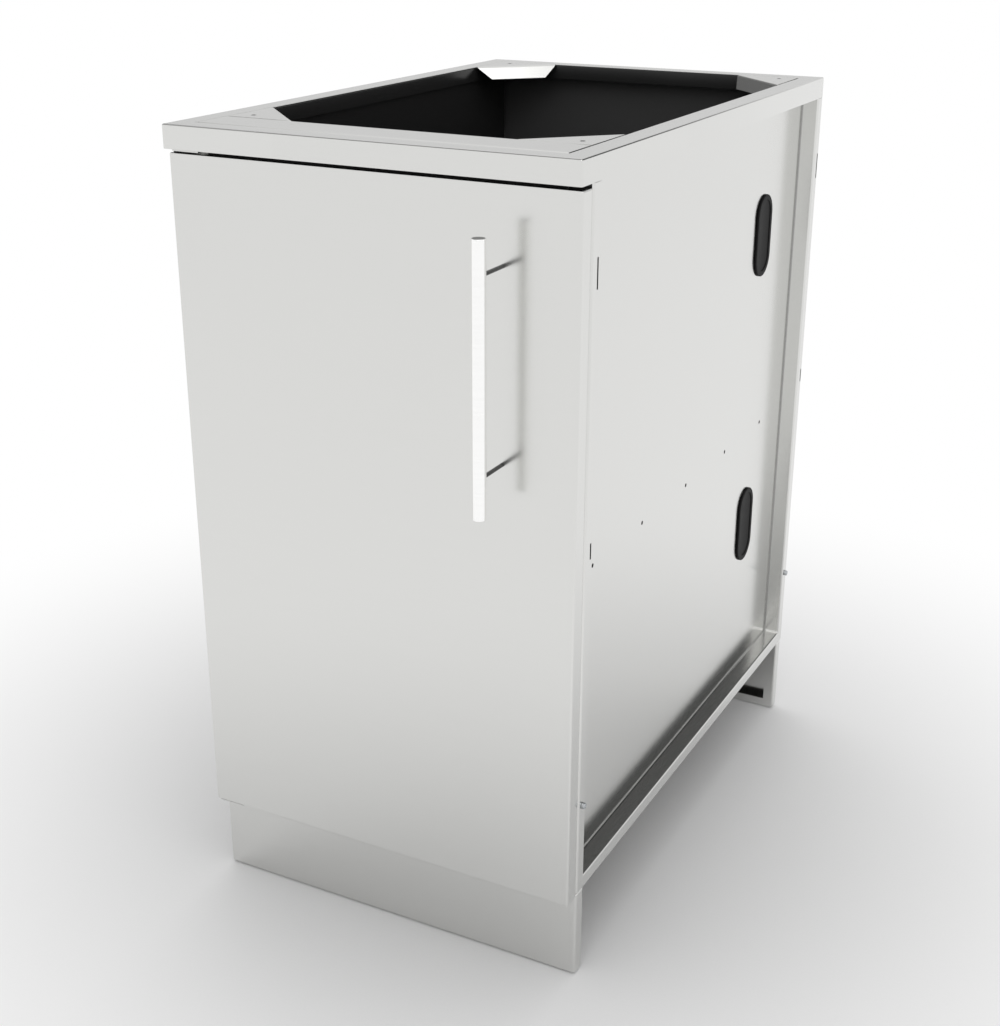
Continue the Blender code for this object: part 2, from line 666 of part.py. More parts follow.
def make_shelf_rail(side_name, side):
    """Angle rail riveted to the web, with its five rivets."""
    name = f"shelf_rail_{side_name}"
    places = rivet_places()
    front_y = places[0] - RAIL_OVERHANG
    rear_y = places[-1] + RAIL_OVERHANG
    rail = box(name, (side * RAIL_INNER_X, front_y, RIVET_Z - RAIL_DROP),
               (side * RAIL_OUTER_X, rear_y, RAIL_TOP_Z))
    ledge = box(name + "_ledge",
                (side * (RAIL_OUTER_X - RAIL_LEDGE), front_y, RAIL_TOP_Z - RAIL_SHEET),
                (side * (RAIL_OUTER_X - RAIL_SHEET / 2), rear_y, RAIL_TOP_Z), None, CUTTERS)
    combine(rail, ledge, "UNION")
    cut_rods(rail, name + "_holes",
             [((side * (RAIL_INNER_X - OVERRUN), y, RIVET_Z),
               (side * (RAIL_OUTER_X + OVERRUN), y, RIVET_Z)) for y in places],
             RIVET_DIAMETER / 2 + GAP)
    head = RIVET_HEAD_DIAMETER / 2
    shank = RIVET_DIAMETER / 2
    tail = RAIL_INNER_X - WEB_X
    profile = [(0, GAP + RIVET_HEAD_HEIGHT), (head, GAP + RIVET_HEAD_HEIGHT), (head, GAP),
               (shank, GAP), (shank, tail), (0, tail)]
    for number, y in enumerate(places, start=1):
        turned(f"shelf_rivet_{side_name}_{number}", profile, (side * RAIL_INNER_X, y, RIVET_Z),
               (-side, 0, 0), DARK_RIVET)


def make_shelf():
    """Shelf on the two rails, with its front and rear edges turned down."""
    reach = WEB_INNER_X - SHELF_SIDE_CLEARANCE
    top_z = RAIL_TOP_Z + GAP + SHEET
    front_y = CARCASS_FRONT_Y + SHELF_FRONT_SETBACK
    rear_y = BACK_PANEL_FRONT_Y - SHELF_REAR_CLEARANCE
    section = [(front_y, top_z - SHELF_DROP), (front_y, top_z), (rear_y, top_z),
               (rear_y, top_z - SHELF_DROP)]
    folded_strip("shelf", section, -reach, reach, (0, 0, 1))


def make_toe_kick(name, face_y, depth, outward):
    """Hollow toe kick, closed all round but for the cut-outs in its inner wall."""
    edge_x = HALF_WIDTH - KICK_END_INSET
    inner_y = face_y - outward * depth
    top_z = BASE_HEIGHT - GAP
    kick = box(name, (-edge_x, inner_y, KICK_FLOOR_GAP), (edge_x, face_y, top_z))
    round_folds(kick, BEND_RADIUS)
    hollow_x = edge_x - SHEET
    cut_boxes(kick, name + "_hollow", [
        ((-hollow_x, inner_y + outward * SHEET, KICK_FLOOR_GAP + SHEET),
         (hollow_x, face_y - outward * SHEET, top_z - SHEET))])
    cutouts = []
    for side in SIDES.values():
        end_x = side * (HALF_WIDTH - KICK_CUTOUT_FROM_END)
        cutouts.append(((end_x, inner_y - outward * OVERRUN, KICK_CUTOUT_Z),
                        (end_x - side * KICK_CUTOUT_LENGTH, inner_y + outward * (SHEET + OVERRUN),
                         KICK_CUTOUT_Z + KICK_CUTOUT_HEIGHT)))
    cut_boxes(kick, name + "_cutouts", cutouts)


def make_leg(name, x, y):
    """Leg socket under the floor panel, and the levelling foot that screws out of it."""
    flange = SOCKET_FLANGE_DIAMETER / 2
    tube = SOCKET_DIAMETER / 2
    stem = FOOT_STEM_DIAMETER / 2
    bore = stem + GAP
    top_z = FLOOR_PANEL_Z - SHEET - GAP
    under_flange_z = top_z - SOCKET_FLANGE_THICKNESS
    bore_top_z = FOOT_STEM_TOP_Z + SOCKET_BORE_CLEARANCE
    turned(f"leg_socket_{name}",
           [(0, top_z), (flange, top_z), (flange, under_flange_z), (tube, under_flange_z),
            (tube, SOCKET_BASE_Z), (bore, SOCKET_BASE_Z), (bore, bore_top_z), (0, bore_top_z)],
           (x, y, 0), (0, 0, 1), PLASTIC, ROUND_SIDES)

    pad = FOOT_PAD_DIAMETER / 2
    collar = FOOT_COLLAR_DIAMETER / 2
    collar_top_z = SOCKET_BASE_Z - GAP
    collar_base_z = collar_top_z - FOOT_COLLAR_HEIGHT
    turned(f"levelling_foot_{name}",
           [(0, FOOT_STEM_TOP_Z), (stem, FOOT_STEM_TOP_Z), (stem, collar_top_z),
            (collar, collar_top_z), (collar, collar_base_z), (stem, collar_base_z),
            (stem, FOOT_PAD_HEIGHT), (pad, FOOT_PAD_EDGE), (pad, 0), (0, 0)],
           (x, y, 0), (0, 0, 1), FASTENER, ROUND_SIDES)


def make_base():
    """Both toe kicks and the four legs."""
    make_toe_kick("toe_kick_front", CARCASS_FRONT_Y + KICK_SETBACK, FRONT_KICK_DEPTH, -1)
    make_toe_kick("toe_kick_rear", BACK_Y, REAR_KICK_DEPTH, 1)
    leg_x = HALF_WIDTH - LEG_FROM_SIDE
    for side_name, side in SIDES.items():
        make_leg(f"front_{side_name}", side * leg_x, CARCASS_FRONT_Y + LEG_FROM_FRONT)
        make_leg(f"rear_{side_name}", side * leg_x, BACK_Y - LEG_FROM_REAR)


def make_door_shell():
    """Outer skin and inner liner of the door, two trays that close on each other."""
    skin = tray("door_skin", (DOOR_LEFT_X, DOOR_FACE_Y, DOOR_BASE_Z),
                (DOOR_RIGHT_X, DOOR_BACK_Y, DOOR_TOP_Z), "-Y", BRUSHED, DOOR_SHEET,
                DOOR_BEND_RADIUS)
    liner = tray("door_liner",
                 (DOOR_LEFT_X + LINER_INSET, LINER_FRONT_Y, DOOR_BASE_Z + LINER_INSET),
                 (DOOR_RIGHT_X - LINER_INSET, DOOR_BACK_Y, DOOR_TOP_Z - LINER_INSET), "+Y",
                 BRUSHED, DOOR_SHEET, DOOR_BEND_RADIUS)
    reach = LINER_INSET + DOOR_SHEET + OVERRUN
    pivot_holes = [((PIVOT_X, PIVOT_Y, DOOR_TOP_Z - reach),
                    (PIVOT_X, PIVOT_Y, DOOR_TOP_Z + OVERRUN)),
                   ((PIVOT_X, PIVOT_Y, DOOR_BASE_Z - OVERRUN),
                    (PIVOT_X, PIVOT_Y, DOOR_BASE_Z + reach))]
    for shell in (skin, liner):
        cut_rods(shell, shell.name + "_pivot_holes", pivot_holes, BUSH_DIAMETER / 2 + GAP)
    return skin, liner


def make_pivot(end_name, door_z, outward):
    """Bush in the door's edge, bracket on the frame beyond it, and the pin through both."""
    bore = PIVOT_PIN_DIAMETER / 2 + GAP
    barrel = BUSH_DIAMETER / 2
    flange = BUSH_FLANGE_DIAMETER / 2
    flange_top = GAP + BUSH_FLANGE_THICKNESS
    place = (PIVOT_X, PIVOT_Y, door_z)
    up = (0, 0, outward)
    turned(f"pivot_bush_{end_name}",
           [(bore, flange_top), (flange, flange_top), (flange, GAP), (barrel, GAP),
            (barrel, -BUSH_LENGTH), (bore, -BUSH_LENGTH)], place, up, PLASTIC, closed=True)

    plate_near = flange_top + GAP
    plate_far = plate_near + BRACKET_SHEET
    pin = PIVOT_PIN_DIAMETER / 2
    head = PIVOT_PIN_HEAD_DIAMETER / 2
    head_base = plate_far + GAP
    head_top = head_base + PIVOT_PIN_HEAD_HEIGHT
    turned(f"pivot_pin_{end_name}",
           [(0, head_top), (head, head_top), (head, head_base), (pin, head_base),
            (pin, -PIVOT_PIN_REACH), (0, -PIVOT_PIN_REACH)], place, up, FASTENER)

    near_z = door_z + outward * plate_near
    far_z = door_z + outward * plate_far
    leg_near_y = DOOR_BACK_Y + GAP
    leg_far_y = leg_near_y + SEAT_FILL
    end_x = PIVOT_X + BRACKET_LENGTH
    bracket = box(f"pivot_bracket_{end_name}",
                  (PIVOT_X - BRACKET_NOSE, PIVOT_Y - BRACKET_NOSE, near_z),
                  (end_x, leg_far_y, far_z), FASTENER)
    leg = box(f"pivot_bracket_{end_name}_leg",
              (PIVOT_X + BRACKET_LEG_START, leg_near_y, far_z),
              (end_x, leg_far_y, far_z - outward * BRACKET_LEG_HEIGHT), None, CUTTERS)
    combine(bracket, leg, "UNION")
    cut_rods(bracket, f"pivot_bracket_{end_name}_hole",
             [((PIVOT_X, PIVOT_Y, near_z - outward * OVERRUN),
               (PIVOT_X, PIVOT_Y, far_z + outward * OVERRUN))], bore)


def make_handle(skin):
    """Round bar on two standoffs, each screwed on from inside the door."""
    half = HANDLE_LENGTH / 2
    bar = rod("handle_bar", (HANDLE_X, HANDLE_Y, HANDLE_CENTRE_Z - half),
              (HANDLE_X, HANDLE_Y, HANDLE_CENTRE_Z + half), HANDLE_DIAMETER / 2, POLISHED,
              ROUND_SIDES)
    ends = bar.modifiers.new("end_chamfer", "BEVEL")
    ends.limit_method = "ANGLE"
    ends.angle_limit = CHAMFER_ANGLE
    ends.width = HANDLE_END_CHAMFER
    ends.segments = 1

    screw = HANDLE_SCREW_DIAMETER / 2
    head = HANDLE_SCREW_HEAD_DIAMETER / 2
    head_top = HANDLE_SCREW_HEAD_HEIGHT
    tip = HANDLE_SCREW_TIP_CLEARANCE - DOOR_SHEET - GAP * 2 - STANDOFF_BORE_DEPTH
    screw_profile = [(0, head_top), (head, head_top), (head, 0), (screw, 0), (screw, tip),
                     (0, tip)]
    holes = []
    for name, offset in (("upper", STANDOFF_SPACING / 2), ("lower", -STANDOFF_SPACING / 2)):
        height = HANDLE_CENTRE_Z + STANDOFFS_ABOVE_BAR_MIDDLE + offset
        post = rod(f"handle_standoff_{name}", (HANDLE_X, HANDLE_ROOT_Y, height),
                   (HANDLE_X, HANDLE_Y, height), STANDOFF_DIAMETER / 2, POLISHED)
        cut_rods(post, f"handle_cope_{name}",
                 [((HANDLE_X, HANDLE_Y, height - HANDLE_DIAMETER),
                   (HANDLE_X, HANDLE_Y, height + HANDLE_DIAMETER))],
                 HANDLE_DIAMETER / 2 + GAP, ROUND_SIDES)
        cut_rods(post, f"handle_bore_{name}",
                 [((HANDLE_X, HANDLE_ROOT_Y + OVERRUN, height),
                   (HANDLE_X, HANDLE_ROOT_Y - STANDOFF_BORE_DEPTH, height))], screw + GAP)
        turned(f"handle_screw_{name}", screw_profile,
               (HANDLE_X, DOOR_FACE_Y + DOOR_SHEET + GAP, height), (0, 1, 0), FASTENER)
        holes.append(((HANDLE_X, DOOR_FACE_Y - OVERRUN, height),
                      (HANDLE_X, DOOR_FACE_Y + DOOR_SHEET + OVERRUN, height)))
    cut_rods(skin, "door_skin_screw_holes", holes, screw + GAP)


def make_catch():
    """Magnetic catch behind the ledge's front flange, its magnet, and the strike on the door."""
    top_z = TOP_Z - LEDGE_FRONT_DROP - GAP
    low_z = top_z - CATCH_HEIGHT
    right_x = HALF_WIDTH - CATCH_FROM_RIGHT
    left_x = right_x - CATCH_WIDTH
    rear_y = CARCASS_FRONT_Y + CATCH_DEPTH
    housing = box("catch_housing", (left_x, CARCASS_FRONT_Y, low_z), (right_x, rear_y, top_z),
                  PLASTIC)
    tab_y = CARCASS_FRONT_Y + SHEET + GAP
    tab = box("catch_tab", (left_x, tab_y, top_z - CATCH_WALL),
              (right_x, tab_y + CATCH_TAB_THICKNESS, top_z + CATCH_TAB_HEIGHT), None, CUTTERS)
    combine(housing, tab, "UNION")
    cut_boxes(housing, "catch_pocket", [
        ((left_x + CATCH_WALL, CARCASS_FRONT_Y - OVERRUN, low_z + CATCH_WALL),
         (right_x - CATCH_WALL, rear_y - CATCH_WALL, top_z - CATCH_WALL))])
    inset = CATCH_WALL + GAP
    box("catch_magnet", (left_x + inset, CARCASS_FRONT_Y, low_z + inset),
        (right_x - inset, rear_y - inset, top_z - inset), FASTENER)
    strike_y = DOOR_BACK_Y + GAP
    box("catch_strike", (left_x + STRIKE_MARGIN, strike_y, low_z + STRIKE_MARGIN),
        (right_x - STRIKE_MARGIN, strike_y + SEAT_FILL, top_z - STRIKE_MARGIN), FASTENER)


def make_bumpers(liner):
    """Bumpers pressed into the liner, near the free edge's two ends."""
    x = DOOR_RIGHT_X - BUMPER_FROM_EDGE
    head = BUMPER_DIAMETER / 2
    stem = BUMPER_STEM_DIAMETER / 2
    face = GAP + SEAT_FILL
    profile = [(0, face), (head, face), (head, GAP), (stem, GAP), (stem, -BUMPER_STEM_LENGTH),
               (0, -BUMPER_STEM_LENGTH)]
    holes = []
    for name, z in (("upper", DOOR_TOP_Z - BUMPER_FROM_END),
                    ("lower", DOOR_BASE_Z + BUMPER_FROM_END)):
        turned(f"door_bumper_{name}", profile, (x, DOOR_BACK_Y, z), (0, 1, 0), PLASTIC)
        holes.append(((x, DOOR_BACK_Y - BUMPER_STEM_LENGTH, z), (x, DOOR_BACK_Y + OVERRUN, z)))
    cut_rods(liner, "door_liner_bumper_holes", holes, stem + GAP)


DOOR_PIECES = ("door_skin", "door_liner", "handle_bar", "handle_standoff_upper",
               "handle_standoff_lower", "handle_screw_upper", "handle_screw_lower",
               "pivot_bush_upper", "pivot_bush_lower", "catch_strike", "door_bumper_upper",
               "door_bumper_lower")


def hang_door():
    """Parent the door's pieces to an empty on the pivot axis, and leave them in place."""
    axis = bpy.data.objects.new("door_axis", None)
    axis.location = (PIVOT_X, PIVOT_Y, 0)
    PARTS.objects.link(axis)
    bpy.context.view_layer.update()
    for name in DOOR_PIECES:
        piece = bpy.data.objects[name]
        piece.parent = axis
        piece.matrix_parent_inverse = axis.matrix_world.inverted()


def build():
    """Make every piece of the cabinet."""
    make_top_rim()
    make_front_ledge()
    make_gussets()
    for side_name, side in SIDES.items():
        make_side_panel(side_name, side)
        make_shelf_rail(side_name, side)
    make_plugs()
    make_joining_studs()
    make_back_panel()
    make_floor_panel()
    make_shelf()
    make_base()
    skin, liner = make_door_shell()
    make_pivot("upper", DOOR_TOP_Z, 1)
    make_pivot("lower", DOOR_BASE_Z, -1)
    make_handle(skin)
    make_catch()
    make_bumpers(liner)
    hang_door()


build()
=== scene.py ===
# %% [markdown]
# # A base cabinet for an outdoor kitchen
# The cabinet is folded from brushed stainless sheet and stands on four feet behind its toe kicks.
# Its solids come ready made, at their real sizes in metres, with Z up and the door facing -Y. What
# this lesson adds is the look: finishes made from nodes, finer surfaces where a fold or a turned
# piece catches the light, and a plain studio round it.

# %% Load the solids
import math

import bmesh
import bpy
import numpy as np
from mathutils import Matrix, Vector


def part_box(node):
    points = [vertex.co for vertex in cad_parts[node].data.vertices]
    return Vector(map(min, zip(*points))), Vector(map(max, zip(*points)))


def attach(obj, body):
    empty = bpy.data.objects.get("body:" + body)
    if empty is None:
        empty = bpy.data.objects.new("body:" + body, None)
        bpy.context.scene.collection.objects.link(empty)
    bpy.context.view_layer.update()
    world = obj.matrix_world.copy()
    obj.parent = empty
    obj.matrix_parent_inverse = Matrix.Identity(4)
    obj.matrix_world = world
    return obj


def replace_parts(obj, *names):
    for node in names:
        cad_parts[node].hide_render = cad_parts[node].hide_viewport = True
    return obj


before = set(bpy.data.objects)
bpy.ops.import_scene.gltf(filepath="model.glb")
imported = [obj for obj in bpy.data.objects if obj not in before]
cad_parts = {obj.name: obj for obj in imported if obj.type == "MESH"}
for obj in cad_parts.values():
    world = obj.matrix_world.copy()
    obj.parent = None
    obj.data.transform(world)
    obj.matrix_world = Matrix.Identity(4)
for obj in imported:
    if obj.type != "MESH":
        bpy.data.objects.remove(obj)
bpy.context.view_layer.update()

# %% [markdown]
# Colours are easier to pick as the hex values that a screen shows, but a shader needs linear
# light. One function turns the first into the second. Another adds a node, sets what it is told
# to, and links its inputs, so that each finish below reads as a short list.

# %% Colours and nodes


def linear(colour):
    """Each channel c of an sRGB hex colour becomes c/12.92 when dark, else ((c+0.055)/1.055)^2.4."""
    c = np.array([int(colour[i:i + 2], 16) for i in (1, 3, 5)]) / 255
    lit = np.where(c <= 0.04045, c / 12.92, ((c + 0.055) / 1.055) ** 2.4)
    return (*lit.tolist(), 1.0)


def add_node(tree, kind, inputs=None, **settings):
    """Add a node, set its settings, and link or set each input by its name or number."""
    made = tree.nodes.new(kind)
    for name, value in settings.items():
        setattr(made, name, value)
    for name, value in (inputs or {}).items():
        if isinstance(value, bpy.types.NodeSocket):
            tree.links.new(value, made.inputs[name])
        else:
            made.inputs[name].default_value = value
    return made


def new_finish(name, **sockets):
    """Start a material from the Principled shader, with whatever is the same all over set on it."""
    made = bpy.data.materials.new(name)
    made.use_nodes = True
    shader = made.node_tree.nodes["Principled BSDF"]
    for socket, value in sockets.items():
        shader.inputs[socket.replace("_", " ")].default_value = value
    return made, made.node_tree, shader


print("mid grey is", round(linear("#808080")[0], 4))

# %% [markdown]
# Sheet stainless steel, grade 304, is given its brushed finish by an abrasive belt that runs along
# it. The belt leaves scratches a few hundredths of a millimetre wide and several centimetres long,
# too fine to see one by one, so the sheet looks evenly grey with soft reflections. Real scratches
# would vanish between pixels, so the noise here is drawn 0.6 mm wide and kept very faint. It is
# stretched along the grain by scaling the Object coordinates, which stay with the metal when a
# piece moves. A slower noise stands for the slight unevenness of a rolled sheet. Along the inward
# folds of the recess the colour is painted darker, a painted shade in the crease.

# %% Marks of the brushing belt
GRAIN_LENGTH = 0.120
GRAIN_WIDTH = 0.0006
CLOUD_SIZE = 0.140
STEEL_LIGHT = linear("#DDDDDB")
STEEL_DARK = linear("#D9D9D7")
# Painted shade: the darker grey along the recess's inward folds.
CREASE_PAINTED_SHADE = linear("#A4A4A2")
SUM_LOW, SUM_HIGH = 0.6, 1.4
SMOOTHEST, ROUGHEST = 0.19, 0.21
SCRATCH_DEPTH, SCRATCH_SHARE = 0.00002, 0.004


def brush_marks(tree, along):
    """Noise whose cells are GRAIN_LENGTH along one axis and GRAIN_WIDTH across it."""
    where = add_node(tree, "ShaderNodeTexCoord").outputs["Object"]
    stretch = [1 / GRAIN_WIDTH] * 3
    stretch["XYZ".index(along)] = 1 / GRAIN_LENGTH
    turned = add_node(tree, "ShaderNodeMapping", {"Vector": where, "Scale": stretch})
    marks = add_node(tree, "ShaderNodeTexNoise", {"Vector": turned.outputs[0], "Scale": 1.0,
                                                  "Detail": 3.0, "Roughness": 0.6})
    clouds = add_node(tree, "ShaderNodeTexNoise", {"Vector": where, "Scale": 1 / CLOUD_SIZE,
                                                   "Detail": 1.0})
    return where, marks.outputs["Fac"], clouds.outputs["Fac"]


print("belt marks:", GRAIN_WIDTH * 1000, "by", GRAIN_LENGTH * 1000, "mm")

# %% [markdown]
# The inside of the cabinet is painted black, a painted shade for the dark inside of the box: a
# dark colour without metal on the inner face of each panel, while the outer face of the same sheet
# stays bare. The strips' faces behind the door and the walls of the gussets' screw holes get the
# same painted shade, as the gap and the holes lie in shade. One panel is one solid, so its finish
# has to tell its faces apart. It does so by place: a mask that is 1 inside given limits of |x|, y
# and z picks the painted shade's colour and takes away the metal there.

# %% A mask by place
# Painted shade: the dark colour of the inside, and a lighter one for the back panel, where more
# light falls.
INSIDE_PAINTED_SHADE = linear("#232323")
BACK_PAINTED_SHADE_LIGHTER = linear("#4C4C4C")


def inside_limits(tree, where, limits):
    """1 where each given axis lies between its limits and 0 elsewhere; X is taken without sign."""
    parts = add_node(tree, "ShaderNodeSeparateXYZ", {0: where})
    product = None
    for axis, (low, high) in limits.items():
        value = parts.outputs[axis]
        if axis == "X":
            value = add_node(tree, "ShaderNodeMath", {0: value}, operation="ABSOLUTE").outputs[0]
        over = add_node(tree, "ShaderNodeMath", {0: value, 1: low}, operation="GREATER_THAN")
        under = add_node(tree, "ShaderNodeMath", {0: value, 1: high}, operation="LESS_THAN")
        both = add_node(tree, "ShaderNodeMath", {0: over.outputs[0], 1: under.outputs[0]},
                        operation="MULTIPLY").outputs[0]
        product = both if product is None else add_node(
            tree, "ShaderNodeMath", {0: product, 1: both}, operation="MULTIPLY").outputs[0]
    return product


def inside_any(tree, where, boxes):
    """1 inside at least one of several sets of limits: the largest of their masks."""
    masks = [inside_limits(tree, where, limits) for limits in boxes]
    largest = masks[0]
    for more in masks[1:]:
        largest = add_node(tree, "ShaderNodeMath", {0: largest, 1: more},
                           operation="MAXIMUM").outputs[0]
    return largest


print("coating:", [round(channel, 4) for channel in INSIDE_PAINTED_SHADE[:3]])

# %% [markdown]
# The finish itself is metal all over, with a tone from the belt's marks and a roughness from the
# sum of both noises, which mostly lies between 0.6 and 1.4. Given limits, it mixes painted shade
# in through the mask: a darker grey in the recess's creases, and the dark colour without metal of
# the shaded inside. To the eye it is a pale, even grey, in which a near edge is mirrored clearly
# and a far one softly.

# %% Brushed stainless sheet


def brushed_stainless(name, along, *shade_boxes, shade_colour=INSIDE_PAINTED_SHADE, crease_boxes=()):
    """Brushed 304 sheet, its grain along one axis; the other arguments are limits of painted shade.
    """
    made, tree, shader = new_finish(name, Metallic=1.0, Specular_IOR_Level=0.40)
    where, marks, clouds = brush_marks(tree, along)
    tone = add_node(tree, "ShaderNodeMix", {"Factor": marks}, data_type="RGBA")
    # A Mix node holds one set of sockets for each kind of data, so the colours go in by number.
    tone.inputs[6].default_value, tone.inputs[7].default_value = STEEL_DARK, STEEL_LIGHT
    colour = tone.outputs[2]
    uneven = add_node(tree, "ShaderNodeMath", {0: marks, 1: clouds}, operation="ADD")
    rough = add_node(tree, "ShaderNodeMapRange", {"Value": uneven.outputs[0],
                                                  "From Min": SUM_LOW, "From Max": SUM_HIGH,
                                                  "To Min": SMOOTHEST, "To Max": ROUGHEST})
    relief = add_node(tree, "ShaderNodeBump", {"Height": marks, "Strength": SCRATCH_SHARE,
                                               "Distance": SCRATCH_DEPTH})
    tree.links.new(relief.outputs[0], shader.inputs["Normal"])
    tree.links.new(rough.outputs[0], shader.inputs["Roughness"])
    # Painted shade: the creases get a darker grey, then the shaded inside gets a dark colour without
    # metal.
    for boxes, painted_shade_tone in ((crease_boxes, CREASE_PAINTED_SHADE), (shade_boxes, shade_colour)):
        if boxes:
            mask = inside_any(tree, where, boxes)
            shade_mix = add_node(tree, "ShaderNodeMix", {"Factor": mask, 6: colour}, data_type="RGBA")
            shade_mix.inputs[7].default_value = painted_shade_tone
            colour = shade_mix.outputs[2]
    tree.links.new(colour, shader.inputs["Base Color"])
    if shade_boxes:
        metal = add_node(tree, "ShaderNodeMath", {0: 1.0, 1: mask}, operation="SUBTRACT")
        tree.links.new(metal.outputs[0], shader.inputs["Metallic"])
    return made


BARE_SHEET = brushed_stainless("brushed_304_sheet_x", "X")
print("bare sheet:", BARE_SHEET.name)

# %% [markdown]
# The limits follow from the solids. A sheet's two faces are told apart half a sheet in from its
# outer face, and a bend stays bare, so that a folded edge keeps its thin bright line.

# %% Sheets with painted shade inside
SHEET, BEND, RECESS, CLEARANCE = 0.0012, 0.0020, 0.0205, 0.0003
STRIP_FRONT, STRIP_REAR, STRIP_BOTTOM = 0.0165, 0.0155, 0.0170
FRONT_BARE, REAR_BARE = 0.0052, 0.0028
HOLE_INSET, HOLE_REACH = 0.0175, 0.0032
HAIR, BEYOND = 0.00005, 1.0


def side_sheet():
    """Side panel: painted shade inside the web, behind the door and in the recess's three folds."""
    low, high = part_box("side_panel_right")
    web = high.x - RECESS
    web_middle = web - SHEET / 2
    fold = {"X": (web + HAIR, web + BEND)}
    front, rear, sill = low.y + STRIP_FRONT, high.y - STRIP_REAR, low.z + STRIP_BOTTOM
    # Painted shade: dark on the web's inner face and the strips' faces behind the door, darker grey
    # in the three creases.
    return brushed_stainless(
        "brushed_304_side_lined_black", "Z",
        {"X": (0.0, web_middle), "Y": (low.y + FRONT_BARE, high.y - REAR_BARE)},
        {"X": (0.0, high.x - BEND), "Y": (-BEYOND, low.y + CLEARANCE)},
        crease_boxes=({**fold, "Z": (sill + HAIR, sill + BEND)},
                 {**fold, "Y": (rear - BEND, rear - HAIR)},
                 {**fold, "Y": (front + HAIR, front + BEND)}))


def rim_sheet():
    """Top rim: painted shade below and within its outer faces, by half a sheet."""
    low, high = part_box("top_rim")
    return brushed_stainless(
        "brushed_304_rim_lined_black", "X",
        {"X": (0.0, high.x - SHEET / 2), "Y": (low.y + SHEET / 2, high.y - SHEET / 2),
         "Z": (0.0, high.z - SHEET / 2)})


def gusset_sheet(end, inward):
    """Gussets of one end: painted shade only on the wall of the screw hole."""
    low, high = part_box(f"gusset_{end}_right")
    hole_x = high.x - HOLE_INSET
    hole_y = (low.y if inward > 0 else high.y) + inward * HOLE_INSET
    return brushed_stainless(
        f"brushed_304_gusset_{end}_hole_painted_shade", "X",
        {"X": (hole_x - HOLE_REACH, hole_x + HOLE_REACH),
         "Y": (hole_y - HOLE_REACH, hole_y + HOLE_REACH), "Z": (0.0, high.z - 2 * HAIR)})


SIDE_SHEET, RIM_SHEET = side_sheet(), rim_sheet()
# Painted light and shade: the back panel's inside is a lighter dark grey than the other inner faces,
# where more light reaches it.
BACK_SHEET = brushed_stainless("brushed_304_back_lined_black", "Z",
                               {"Y": (-BEYOND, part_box("back_panel")[1].y - SHEET / 2)},
                               shade_colour=BACK_PAINTED_SHADE_LIGHTER)
# Painted shade: dark on the floor panel's upper face and on the ledge below its top bend, in the
# door's gap.
FLOOR_SHEET = brushed_stainless("brushed_304_floor_lined_black", "X",
                                {"Z": (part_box("floor_panel")[1].z - SHEET / 2, BEYOND)})
LEDGE_SHEET = brushed_stainless("brushed_304_ledge_lined_black", "X",
                                {"Z": (0.0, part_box("front_ledge")[1].z - BEND - CLEARANCE)})
GUSSET_SHEET = {"front": gusset_sheet("front", 1), "rear": gusset_sheet("rear", -1)}
print("sheets:", sorted(made.name for made in bpy.data.materials if "brushed" in made.name))

# %% [markdown]
# The shelf and its rails lie wholly inside, in shade, so they are painted nearly black all over,
# a painted shade. The paint is even, with the very fine orange peel that a baked powder keeps when
# it melts, about a millimetre from bump to bump.

# %% Black painted shade on the shelf
PEEL_SIZE, PEEL_DEPTH, PEEL_SHARE = 0.0011, 0.00005, 0.15
PEEL_SMOOTH, PEEL_ROUGH = 0.36, 0.44


def black_powder_coat(name):
    """Nearly black painted shade with a fine orange peel."""
    made, tree, shader = new_finish(name, Specular_IOR_Level=0.40)
    where = add_node(tree, "ShaderNodeTexCoord").outputs["Object"]
    peel = add_node(tree, "ShaderNodeTexNoise", {"Vector": where, "Scale": 1 / PEEL_SIZE,
                                                 "Detail": 1.0})
    tone = add_node(tree, "ShaderNodeValToRGB", {"Fac": peel.outputs["Fac"]})
    tone.color_ramp.elements[0].color = linear("#111111")
    tone.color_ramp.elements[1].color = linear("#151515")
    rough = add_node(tree, "ShaderNodeMapRange", {"Value": peel.outputs["Fac"],
                                                  "To Min": PEEL_SMOOTH, "To Max": PEEL_ROUGH})
    relief = add_node(tree, "ShaderNodeBump", {"Height": peel.outputs["Fac"],
                                               "Strength": PEEL_SHARE, "Distance": PEEL_DEPTH})
    tree.links.new(tone.outputs[0], shader.inputs["Base Color"])
    tree.links.new(rough.outputs[0], shader.inputs["Roughness"])
    tree.links.new(relief.outputs[0], shader.inputs["Normal"])
    return made


SHELF_PAINTED_SHADE = black_powder_coat("black_powder_coat")
print("powder coat peel:", PEEL_SIZE * 1000, "mm")

# %% [markdown]
# The small pieces have their own finishes. The handle is polished stainless bar, turned and then
# buffed; its colour is set nearly white, brighter than the steel, a painted highlight. Its two
# standoffs and the bar's flat ends are set dark grey, a painted shade. Studs, pins, screws and feet
# are zinc-plated steel, a little blue and cloudy. Rivets are blackened steel. Plugs are moulded
# rubber and sockets moulded nylon, both dull, with the fine even texture of a spark-eroded mould.

# %% Polished bar, zinc plate, blackened steel, rubber and nylon
SPECK_LOW, SPECK_HIGH, SPECK_RELIEF = 0.3, 0.7, 0.2


